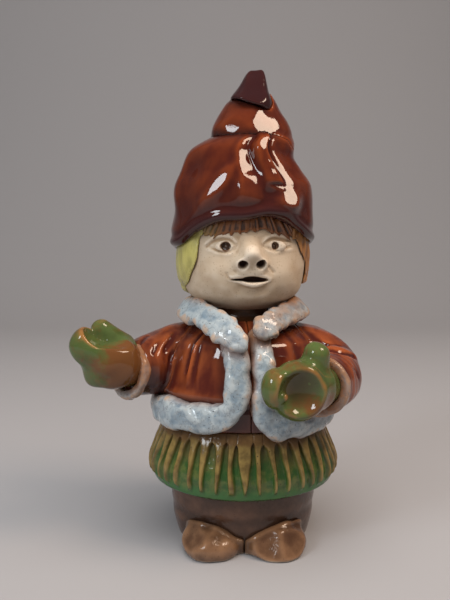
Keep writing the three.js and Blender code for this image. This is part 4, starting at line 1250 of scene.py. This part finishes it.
def scaled(bench, way, amount):
    """A vector times a number."""
    return bench.add("ShaderNodeVectorMath", {0: way, "Scale": amount}, operation="SCALE").outputs["Vector"]


def stored(bench, name):
    """A number written on the mesh."""
    node = bench.add("GeometryNodeInputNamedAttribute", {"Name": name}, data_type="FLOAT")
    return Flow(bench, node.outputs["Attribute"])


def stored_way(bench, name):
    """A place or a direction written on the mesh."""
    node = bench.add("GeometryNodeInputNamedAttribute", {"Name": name}, data_type="FLOAT_VECTOR")
    return node.outputs["Attribute"]


def lumps(bench, place, size, depth, seed):
    """Noise about zero, of that depth."""
    spot = vector(bench, "ADD", place, seed)
    noise = bench.add("ShaderNodeTexNoise", {"Vector": spot, "Scale": 1 / size, "Detail": 1.5}).outputs["Fac"]
    return (Flow(bench, noise) - 0.5) * depth


def clay_coil_tree():
    """A coil of clay rolled along a path, pressed flat and dented by fingers."""
    tree, bench, given = geometry_tree("clay_coil", [
        ("Around", "NodeSocketInt", 36), ("Squareness", NUMBER, 2.8), ("Lump size", NUMBER, 0.006),
        ("Lump depth", NUMBER, 0.0018), ("Dent size", NUMBER, 0.0026), ("Dent depth", NUMBER, 0.0004),
        ("Seed", "NodeSocketVector", (0, 0, 0))])
    line = bench.add("GeometryNodeMeshToCurve", {"Mesh": given["Geometry"]}).outputs[0]
    profile = bench.add("GeometryNodeCurvePrimitiveCircle", {"Resolution": given["Around"], "Radius": 0.001})
    tube = bench.add("GeometryNodeCurveToMesh", {"Curve": line, "Profile Curve": profile.outputs[0],
                                                 "Fill Caps": True}).outputs[0]
    centre, across, outward = (stored_way(bench, name) for name in ("centre", "across", "outward"))
    position = bench.add("GeometryNodeInputPosition").outputs[0]
    spoke = bench.add("ShaderNodeVectorMath", {0: vector(bench, "SUBTRACT", position, centre)},
                      operation="NORMALIZE").outputs["Vector"]
    over, out = (vector(bench, "DOT_PRODUCT", spoke, way) for way in (across, outward))
    power = given["Squareness"]
    reach = (abs(over) ** power + abs(out) ** power) ** (-1 / power)
    side = scaled(bench, across, over * reach * stored(bench, "half"))
    rise = scaled(bench, outward, out * reach * stored(bench, "thick"))
    place = vector(bench, "ADD", centre, vector(bench, "ADD", side, rise))
    uneven = (lumps(bench, place, given["Lump size"], given["Lump depth"], given["Seed"])
              + lumps(bench, place, given["Dent size"], given["Dent depth"], given["Seed"]))
    place = vector(bench, "ADD", place, scaled(bench, spoke, uneven * stored(bench, "full")))
    shaped = bench.add("GeometryNodeSetPosition", {"Geometry": tube, "Position": place}).outputs[0]
    fired_form(bench, shaped, given["Clay"])
    return tree


def pressed_pleats_tree():
    """Grooves pressed round a ring, arched under the band and open at the hem."""
    tree, bench, given = geometry_tree("pressed_pleats", [
        ("Pleats", NUMBER, 42.0), ("Depth", NUMBER, 0.0022), ("Unevenness", NUMBER, 0.5),
        ("Band", NUMBER, 0.0478), ("Arch", NUMBER, 0.0035), ("Hem", NUMBER, 0.0272),
        ("Dent depth", NUMBER, 0.0005)])
    band, hem = given["Band"], given["Hem"]
    turn, rise = stored(bench, "turn"), stored(bench, "rise")
    angle = turn * (2 * math.pi)
    spot = bench.add("ShaderNodeCombineXYZ", {0: bench.math("SINE", angle), 1: bench.math("COSINE", angle),
                                              2: rise * 6}).outputs[0]
    noise = bench.add("ShaderNodeTexNoise", {"Vector": spot, "Scale": 7.0, "Detail": 1.0}).outputs["Fac"]
    sway = (Flow(bench, noise) - 0.5) * (given["Unevenness"] * 2)
    wave = abs(bench.math("COSINE", (turn * given["Pleats"] + sway) * math.pi))
    aside = bench.math("ARCSINE", wave) * (2 / math.pi)
    arch = rise - (band - given["Arch"]) + sway * 0.003
    arch = bench.math("DIVIDE", arch, given["Arch"], clamp=True)
    half = bench.math("SQRT", 1 - arch * arch) * (0.9 - (rise - hem) / (band - hem) * 0.42)
    groove = bench.between(aside, half + 0.14, half - 0.3)
    groove = bench.math("MAXIMUM", groove, 1 - bench.between(rise, hem, hem + 0.003))
    tuck = bench.between(rise, hem - 0.0025, hem + 0.004)
    position = bench.add("GeometryNodeInputPosition").outputs[0]
    dent = lumps(bench, position, 0.005, given["Dent depth"], (3.0, 1.0, 2.0))
    move = (dent - groove * given["Depth"] * tuck) * stored(bench, "outer")
    offset = scaled(bench, stored_way(bench, "outward"), move)
    pressed = bench.add("GeometryNodeSetPosition", {"Geometry": given["Geometry"], "Offset": offset})
    kept = bench.add("GeometryNodeStoreNamedAttribute", {
        "Geometry": pressed.outputs[0], "Name": "groove", "Value": groove}, data_type="FLOAT", domain="POINT")
    fired_form(bench, kept.outputs[0], given["Clay"])
    return tree


CLAY_COIL, PRESSED_PLEATS = clay_coil_tree(), pressed_pleats_tree()


def worked(name, mesh, tree, values, slot):
    """A piece made by a tree from its plain mesh."""
    start = bpy.data.objects.new(name + "_start", mesh)
    bpy.context.scene.collection.objects.link(start)
    modifier = start.modifiers.new("work", "NODES")
    modifier.node_group = tree
    for item in tree.interface.items_tree:
        if item.item_type == "SOCKET" and item.in_out == "INPUT" and item.name in values:
            modifier[item.identifier] = values[item.name]
    bpy.context.view_layer.update()
    made = bpy.data.meshes.new_from_object(start.evaluated_get(bpy.context.evaluated_depsgraph_get()))
    made.name = name + "_fired"
    bpy.data.objects.remove(start)
    keep_piece(name, made, [name], slot)


def write_ways(mesh, name, values):
    """Writes a place or a direction on each of the mesh's places."""
    attribute = mesh.attributes.new(name, "FLOAT_VECTOR", "POINT")
    attribute.data.foreach_set("vector", values.astype(np.float32).ravel())


def unit(rows):
    """Rows of directions, each made 1 long."""
    return rows / np.linalg.norm(rows, axis=1)[:, None]


def coil(name, centres, facings, half, thick, seed, closed=False, lump_depth=0.0022, dent_depth=0.0005):
    """Fur laid along a path of centres; half is its half width and thick its half thickness."""
    count = len(centres)
    if closed:
        along = unit(np.roll(centres, -1, 0) - np.roll(centres, 1, 0))
        full = np.ones(count)
    else:
        along = unit(np.gradient(centres, axis=0))
        run = np.concatenate([[0], np.cumsum(np.linalg.norm(np.diff(centres, axis=0), axis=1))])
        near_end = np.clip(np.minimum(run, run[-1] - run) / np.minimum(half, ROUND_END), 0, 1)
        full = np.sqrt(np.clip(1 - (1 - near_end) ** 2, 0.0004, 1))
    across = unit(np.cross(facings, along))
    mesh = bpy.data.meshes.new(name + "_path")
    edges = [(i, (i + 1) % count) for i in range(count if closed else count - 1)]
    mesh.from_pydata(((centres + AXIS) * MM).tolist(), edges, [])
    chance = np.random.default_rng(seed)
    t = np.linspace(0, 2 * math.pi, count)
    uneven = 1 + 0.05 * sum(np.sin(t * k + chance.uniform(0, 6)) for k in (2, 3, 5, 8))
    write_ways(mesh, "centre", (centres + AXIS) * MM)
    write_ways(mesh, "across", across)
    write_ways(mesh, "outward", np.cross(along, across))
    write_attribute(mesh, "half", half * uneven * full * MM)
    write_attribute(mesh, "thick", thick * full * MM)
    write_attribute(mesh, "full", full)
    values = {"Around": 44, "Lump depth": lump_depth, "Dent depth": dent_depth,
              "Seed": (0.013 * seed, 0.007 * seed, 0.003 * seed), "Clay": FUR}
    worked(name, mesh, CLAY_COIL, values, "fur_glaze")


# Whole widths of the coils, and half thicknesses
FUR_WIDTH, HEM_WIDTH, COLLAR_WIDTH = 9.6, 12.4, 12.0
FUR_THICK, COLLAR_THICK, CUFF_THICK = 4.4, 2.8, 2.0
FUR_HEM = 57.5  # height of the middle of the hem's fur
HEM_TURN = 60  # height where the fur edges turn into the hem
ROUND_END = 4.5  # how far the rounding of a coil's end reaches at most


def fur_on_jacket(name, keys, seed):
    """Fur on the jacket, from [bearing, height, half width] keys."""
    rows = path([(*on_jacket(b, z, 0.6)[0], half) for b, z, half in keys], 150)
    centres = rows[:, :3]
    bearings = np.degrees(np.arctan2(centres[:, 0], -centres[:, 1] / BODY_DEPTH))
    facings = np.array([on_jacket(b, z)[1] for b, z in zip(bearings, centres[:, 2])])
    coil(name, centres, facings, rows[:, 3], FUR_THICK, seed)


def collar(name, keys, seed):
    """A lapel that leans outwards, from [x, y, z, share of the width] keys."""
    rows = path([(x, y, z, share * COLLAR_WIDTH) for x, y, z, share in keys], 110)
    centres = rows[:, :3]
    facings = unit(np.stack([centres[:, 0], centres[:, 1], np.full(len(centres), 20.0)], 1))
    coil(name, centres, facings, rows[:, 3], COLLAR_THICK, seed, lump_depth=0.0012, dent_depth=0.00015)


def cuff(name, centre, towards, radius, half, seed):
    """Fur closed into a ring round a wrist."""
    towards = np.array(towards) / np.linalg.norm(towards)
    side = np.cross(towards, (0, 0, 1.0))
    side /= np.linalg.norm(side)
    turns = np.radians(np.arange(0, 360, 3))
    facings = np.cos(turns)[:, None] * side + np.sin(turns)[:, None] * np.cross(side, towards)
    centres = np.array(centre) + radius * facings
    coil(name, centres, facings, np.full(len(turns), half), CUFF_THICK, seed, closed=True, lump_depth=0.0012)


def edge_keys(spots):
    """Fur keys from [bearing, height, share of the width], with the wider fur along the hem."""
    return [(b, z, share * (HEM_WIDTH if z < HEM_TURN else FUR_WIDTH)) for b, z, share in spots]


fur_on_jacket("fur_edge_right", edge_keys([
    (-18, 88.5, 0.36), (-11.5, 87, 0.45), (-7.2, 84.4, 0.54), (-5.2, 79.7, 0.54), (-4.9, 69.3, 0.51),
    (-8, 62.5, 0.5), (-18, 58.5, 0.48), (-34, FUR_HEM, 0.5), (-54, FUR_HEM, 0.5), (-75, FUR_HEM, 0.5),
    (-96, FUR_HEM, 0.5)]), 1)
fur_on_jacket("fur_edge_left", edge_keys([
    (12.5, 91.5, 0.45), (12.2, 79.7, 0.47), (11.5, 68.6, 0.49), (11.8, 60.5, 0.52), (20, 56.1, 0.5),
    (35, 55.5, 0.5), (54, 55.5, 0.5), (75, 56.5, 0.5), (96, FUR_HEM, 0.5)]), 2)
fur_on_jacket("fur_hem_back", edge_keys([(b, FUR_HEM, 0.5) for b in np.linspace(92, 268, 9)]), 3)
collar("collar_right", [
    (-23.6, 7, 99.4, 0.42), (-24.4, -5, 99, 0.44), (-18, -16.5, 98, 0.48), (-12.5, -23.5, 95.6, 0.5),
    (-7.6, -28.4, 92.6, 0.48), (-3.4, -31.6, 89.2, 0.4), (0.2, -34, 85.6, 0.2)], 4)
collar("collar_left", [
    (23.4, 6, 99.4, 0.4), (23.6, -5, 99, 0.42), (16.8, -16, 97.4, 0.42), (11.4, -22.8, 95.6, 0.42),
    (7.8, -27.6, 93, 0.42), (6.6, -30.4, 89.4, 0.34)], 5)
collar("collar_back", [
    (23.8, 3, 99.4, 0.42), (18, 17.4, 99.8, 0.46), (0, 24, 100, 0.48), (-18, 17.4, 99.8, 0.46),
    (-23.8, 3, 99.4, 0.42)], 6)
cuff("cuff_right", (-47.4, -14.4, 73.6), (-0.72, -0.64, 0.2), 10, 2.2, 7)
cuff("cuff_left", (29.4, -30.6, 71), (-0.3, -0.95, 0.04), 10, 2.2, 8)

skirt_line = curve((SKIRT_LOW, 36), (26.5, 39.6), (32.5, 41.8), (42.25, 38.6), (52, 33.8))


def skirt_start(turns, rows):
    """The skirt before it is pleated: a ring with a turned-under hem and a hollow back."""
    heights = mix(SKIRT_LOW, SKIRT_TOP, np.linspace(0, 1, rows) ** 1.15)
    outer = [(skirt_line(z), z, 1.0) for z in heights]
    inner = [(trouser_line(z) + 0.3, z, 0.0) for z in np.linspace(SKIRT_TOP, SKIRT_LOW, 8)]
    top = [((outer[-1][0] + inner[0][0]) / 2, SKIRT_TOP, 0.0)]
    low = [((outer[0][0] + inner[-1][0]) / 2, SKIRT_LOW, 0.0)]
    line = np.array(outer + top + inner + low)
    turn = np.arange(turns) / turns
    sine, cosine = np.sin(turn * 2 * math.pi), np.cos(turn * 2 * math.pi)
    reach, z, outer_share = (np.repeat(line[:, k][:, None], turns, 1) for k in range(3))
    places = np.stack([reach * sine, -BODY_DEPTH * reach * cosine, z], -1).reshape(-1, 3)
    here = np.arange(len(line) * turns).reshape(len(line), turns)
    above = np.roll(here, -1, 0)
    faces = np.stack([here, np.roll(here, -1, 1), np.roll(above, -1, 1), above], -1).reshape(-1, 4)
    mesh = mesh_of("skirt_start", places, faces)
    write_ways(mesh, "outward", np.stack(np.broadcast_arrays(sine, -cosine, 0 * z), -1))
    write_attribute(mesh, "turn", np.broadcast_to(turn, z.shape).ravel())
    write_attribute(mesh, "rise", z.ravel() * MM)
    write_attribute(mesh, "outer", (outer_share * ease(0, 1.2, z - SKIRT_LOW)).ravel())
    return mesh


SKIRT_TURNS, SKIRT_ROWS = ((1008, 84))
worked("skirt", skirt_start(SKIRT_TURNS, SKIRT_ROWS), PRESSED_PLEATS, {"Clay": SKIRT}, "skirt_glaze")


# How the glaze lies and where shade is painted: ridges, hollows and gutters, read from the finished meshes


def smoothed(values, edges, count, times):
    """Values averaged with their neighbours' a number of times."""
    a, b = edges.T
    neighbours = np.bincount(a, minlength=count) + np.bincount(b, minlength=count)
    for _ in range(times):
        total = np.stack([np.bincount(a, v[b], count) + np.bincount(b, v[a], count) for v in values.T], 1)
        values = 0.5 * values + 0.5 * total / np.maximum(neighbours, 1)[:, None]
    return values


def mark_ridges(piece, reach=1.3, scale=0.22):
    """Above zero where the skin stands out from its surroundings, and below in hollows."""
    mesh = piece.data
    places = places_of(mesh)
    edges = np.zeros(len(mesh.edges) * 2, np.int32)
    mesh.edges.foreach_get("vertices", edges)
    edges = edges.reshape(-1, 2)
    length = np.median(np.linalg.norm(places[edges[:, 0]] - places[edges[:, 1]], axis=1))
    normals = np.zeros(len(places) * 3, np.float32)
    mesh.vertices.foreach_get("normal", normals)
    times = int(np.clip(2 * (reach / length) ** 2, 2, 40))
    moved = places - smoothed(places, edges, len(places), times)
    out = (moved * normals.reshape(-1, 3)).sum(1)[:, None]
    write_attribute(mesh, "ridge", smoothed(out, edges, len(places), 3)[:, 0] / scale)


def mark_pools_and_shade(pieces, cell=1.1, spread=2):
    """The gutters where two pieces meet, for glaze pools and painted shade."""
    low = np.array(cad_box[0]) / MM - 12
    cells = [np.unique(np.floor((places_of(p.data) - low) / cell).astype(int), axis=0) for p in pieces]
    size = np.max([c.max(0) for c in cells], 0) + 8
    met = np.zeros(size, np.float32)
    for c in cells:
        seen = np.zeros(size, bool)
        for step in np.ndindex(3, 3, 3):
            seen[tuple((c + np.array(step) - 1).T)] = True
        met += seen
    gutter = (met >= 2).astype(np.float32)
    for _ in range(spread):
        for axis in range(3):
            gutter = (np.roll(gutter, 1, axis) + 2 * gutter + np.roll(gutter, -1, axis)) / 4
    for piece in pieces:
        at = (places_of(piece.data) - low) / cell - 0.5
        i = np.floor(at).astype(int)
        f = at - i
        value = 0
        for step in np.ndindex(2, 2, 2):
            s = np.array(step)
            value = value + gutter[tuple((i + s).T)] * np.prod(np.where(s, f, 1 - f), axis=1)
        write_attribute(piece.data, "pool_and_shade", value)


def skin_of(name):
    """A finished piece's mesh, and the places on its skin from the figure's axis."""
    mesh = finished[name + "_fired"].data
    return mesh, places_of(mesh) - AXIS


def scale_attribute(mesh, name, share):
    """An attribute made weaker by a share, which may differ from place to place."""
    values = np.zeros(len(mesh.vertices), np.float32)
    mesh.attributes[name].data.foreach_get("value", values)
    write_attribute(mesh, name, values * share)


for piece in finished.values():
    mark_ridges(piece)
# The nose is drawn on to the face, so no glaze or shade lies between the two.
mark_pools_and_shade([piece for name, piece in finished.items() if name != "nose_fired"])

# On the figure's left the fold of the cap runs into the dome without a crease.
for name in ("hat_dome", "hat_fold"):
    mesh, places = skin_of(name)
    scale_attribute(mesh, "pool_and_shade", 1 - smooth_side(places))

# The pricked pupils hold a drop of dark glaze.
mesh, places = skin_of("head")
from_pupil = np.min([np.linalg.norm(places - face_spot(across, up, -0.6), axis=1) / half
                     for across, up, half in PUPILS], 0)
write_attribute(mesh, "drop", ease(1.15, 0.7, from_pupil))

# The mouth and the nostrils are painted dark inside, as painted shade.
for name in ("head", "nose"):
    mesh, places = skin_of(name)
    depth = -weld(features(places), nose_clay(places), NOSE_SOFT)
    write_attribute(mesh, "inside", ease(0.5, 1.8, depth) * (places[:, 1] < -15))

# The glaze lies thick and dark on the brim, and the dome darkens down towards it. The bent tip is painted
# dark all over: thick glaze and painted shade.
mesh, places = skin_of("hat_dome")
rise = places[:, 2] - brim_at(apart(around(places)[1], 0))
write_attribute(mesh, "heavy_and_shade", 0.55 * ease(5.0, 2.6, rise) + 0.4 * ease(20, 3, rise))
mesh, places = skin_of("hat_tip")
for kind in ("heavy_and_shade", "pool_and_shade"):
    write_attribute(mesh, kind, np.full(len(places), 0.8))

# Brown shows where the mittens' green ran thin or was rubbed. Painted shade darkens the hollow of the left
# mitten, the lower front of the right sleeve near its end, and the jacket where its fur edges meet.
for name, kind, share, middle, reach in (
        ("mitten_right", "rubbed", 0.35, (-47, -27, 78), 17),
        ("mitten_left", "rubbed", 0.35, (26, -42, 66), 9),
        # Painted shade in the left mitten's hollow.
        ("mitten_left", "heavy_and_shade", 0.85, (18.5, -44.5, 75.5), 11),
        # Painted shade on the lower front of the right sleeve near its end.
        ("sleeve_right", "heavy_and_shade", 0.85, (-38, -17, 69), 12)):
    mesh, places = skin_of(name)
    write_attribute(mesh, kind, share * ease(reach, 0.3 * reach, np.linalg.norm(places - middle, axis=1)))
# The painted shade on the left mitten stays inside its hollow.
mesh, places = skin_of("mitten_left")
scale_attribute(mesh, "heavy_and_shade", ease(0.9, -0.1, lump(places, *LEFT_PALM)))
# Painted shade in the recess between the jacket's two fur edges, low on the front.
for name in ("jacket_right", "jacket_left"):
    mesh, places = skin_of(name)
    gap = ease(24, 10, abs(apart(around(places)[1], 3))) * ease(70, 58, places[:, 2])
    write_attribute(mesh, "heavy_and_shade", 0.85 * gap)

# Iron from the red glaze stains the fur next to it.
for name in ("collar_left", "cuff_right", "cuff_left"):
    mesh, places = skin_of(name)
    write_attribute(mesh, "tea", np.full(len(places), 0.8))

# The thumbs and the sleeves are smeared on, so less glaze pools and less painted shade lies round them.
for share, names in ((0.25, ("mitten_right", "thumb_right", "mitten_left", "thumb_left", "hair_fringe")),
                     (0.6, ("jacket_right", "jacket_left", "sleeve_right", "sleeve_left", "collar_right",
                            "fur_edge_right"))):
    for name in names:
        scale_attribute(finished[name + "_fired"].data, "pool_and_shade", share)


# The table, the light and the camera

AIM = (0, 0, 0.12)  # the middle of the figure, in metres, at which the lamps point


def lamp(name, place, size, power, colour, seen=True):
    """An oblong lamp; one that isn't seen in the glaze gives soft light only."""
    data = bpy.data.lights.new(name, "AREA")
    data.shape = "RECTANGLE"
    data.size, data.size_y = size
    data.energy = power
    data.color = colour
    light = bpy.data.objects.new(name, data)
    bpy.context.scene.collection.objects.link(light)
    light.location = place
    light.rotation_euler = (Vector(AIM) - Vector(place)).to_track_quat("-Z", "Y").to_euler()
    light.visible_glossy = seen


def sweep(width, front, back, rise, bend):
    """A table that curves up into a backdrop."""
    line = [(front, 0.0), (back - bend, 0.0)]
    turns = np.radians(np.arange(6, 91, 6))
    line += [(back - bend + bend * math.sin(turn), bend - bend * math.cos(turn)) for turn in turns]
    line += [(back, rise)]
    verts = [(x, y, z) for y, z in line for x in (-width / 2, width / 2)]
    faces = [(2 * i, 2 * i + 1, 2 * i + 3, 2 * i + 2) for i in range(len(line) - 1)]
    mesh = bpy.data.meshes.new("table")
    mesh.from_pydata(verts, [], faces)
    for face in mesh.polygons:
        face.use_smooth = True
    table = bpy.data.objects.new("table", mesh)
    bpy.context.scene.collection.objects.link(table)
    mesh.materials.append(Finish("table_paper", Base_Color=(0.35, 0.338, 0.345), Roughness=0.6).material)


sweep(4.0, -1.2, 1.1, 1.8, 0.5)
lamp("window_right", (0.60, -0.24, 0.88), (0.34, 0.36), 5.6, (1.0, 0.77, 0.59))
lamp("window_left", (-0.62, -0.62, 0.72), (0.22, 0.32), 3.0, (0.90, 0.96, 1.0))
lamp("ceiling", (0.06, -0.30, 1.0), (0.9, 0.9), 10.5, (1.0, 0.98, 0.95), seen=False)
lamp("paper_left", (-0.95, -0.75, 0.45), (0.9, 0.9), 5.5, (0.90, 0.95, 1.0), seen=False)

world = bpy.data.worlds.new("room")
bpy.context.scene.world = world
world.use_nodes = True
background = world.node_tree.nodes["Background"].inputs
background["Color"].default_value = (0.5, 0.5, 0.5, 1)
background["Strength"].default_value = 0.27

CAMERA_PLACE = np.array([-7.9, -281.3, 131.5])  # from the foot of the figure's axis, in millimetres
CAMERA_PITCH = 6  # degrees down from level

camera_data = bpy.data.cameras.new("camera")
camera_data.sensor_fit = "VERTICAL"
camera_data.sensor_height = 24
camera_data.lens = 26
camera = bpy.data.objects.new("camera", camera_data)
bpy.context.scene.collection.objects.link(camera)
camera.location = (CAMERA_PLACE + AXIS) * MM
camera.rotation_euler = (math.radians(90 - CAMERA_PITCH), 0, 0)
bpy.context.scene.camera = camera
bpy.context.scene.view_settings.view_transform = "Standard"
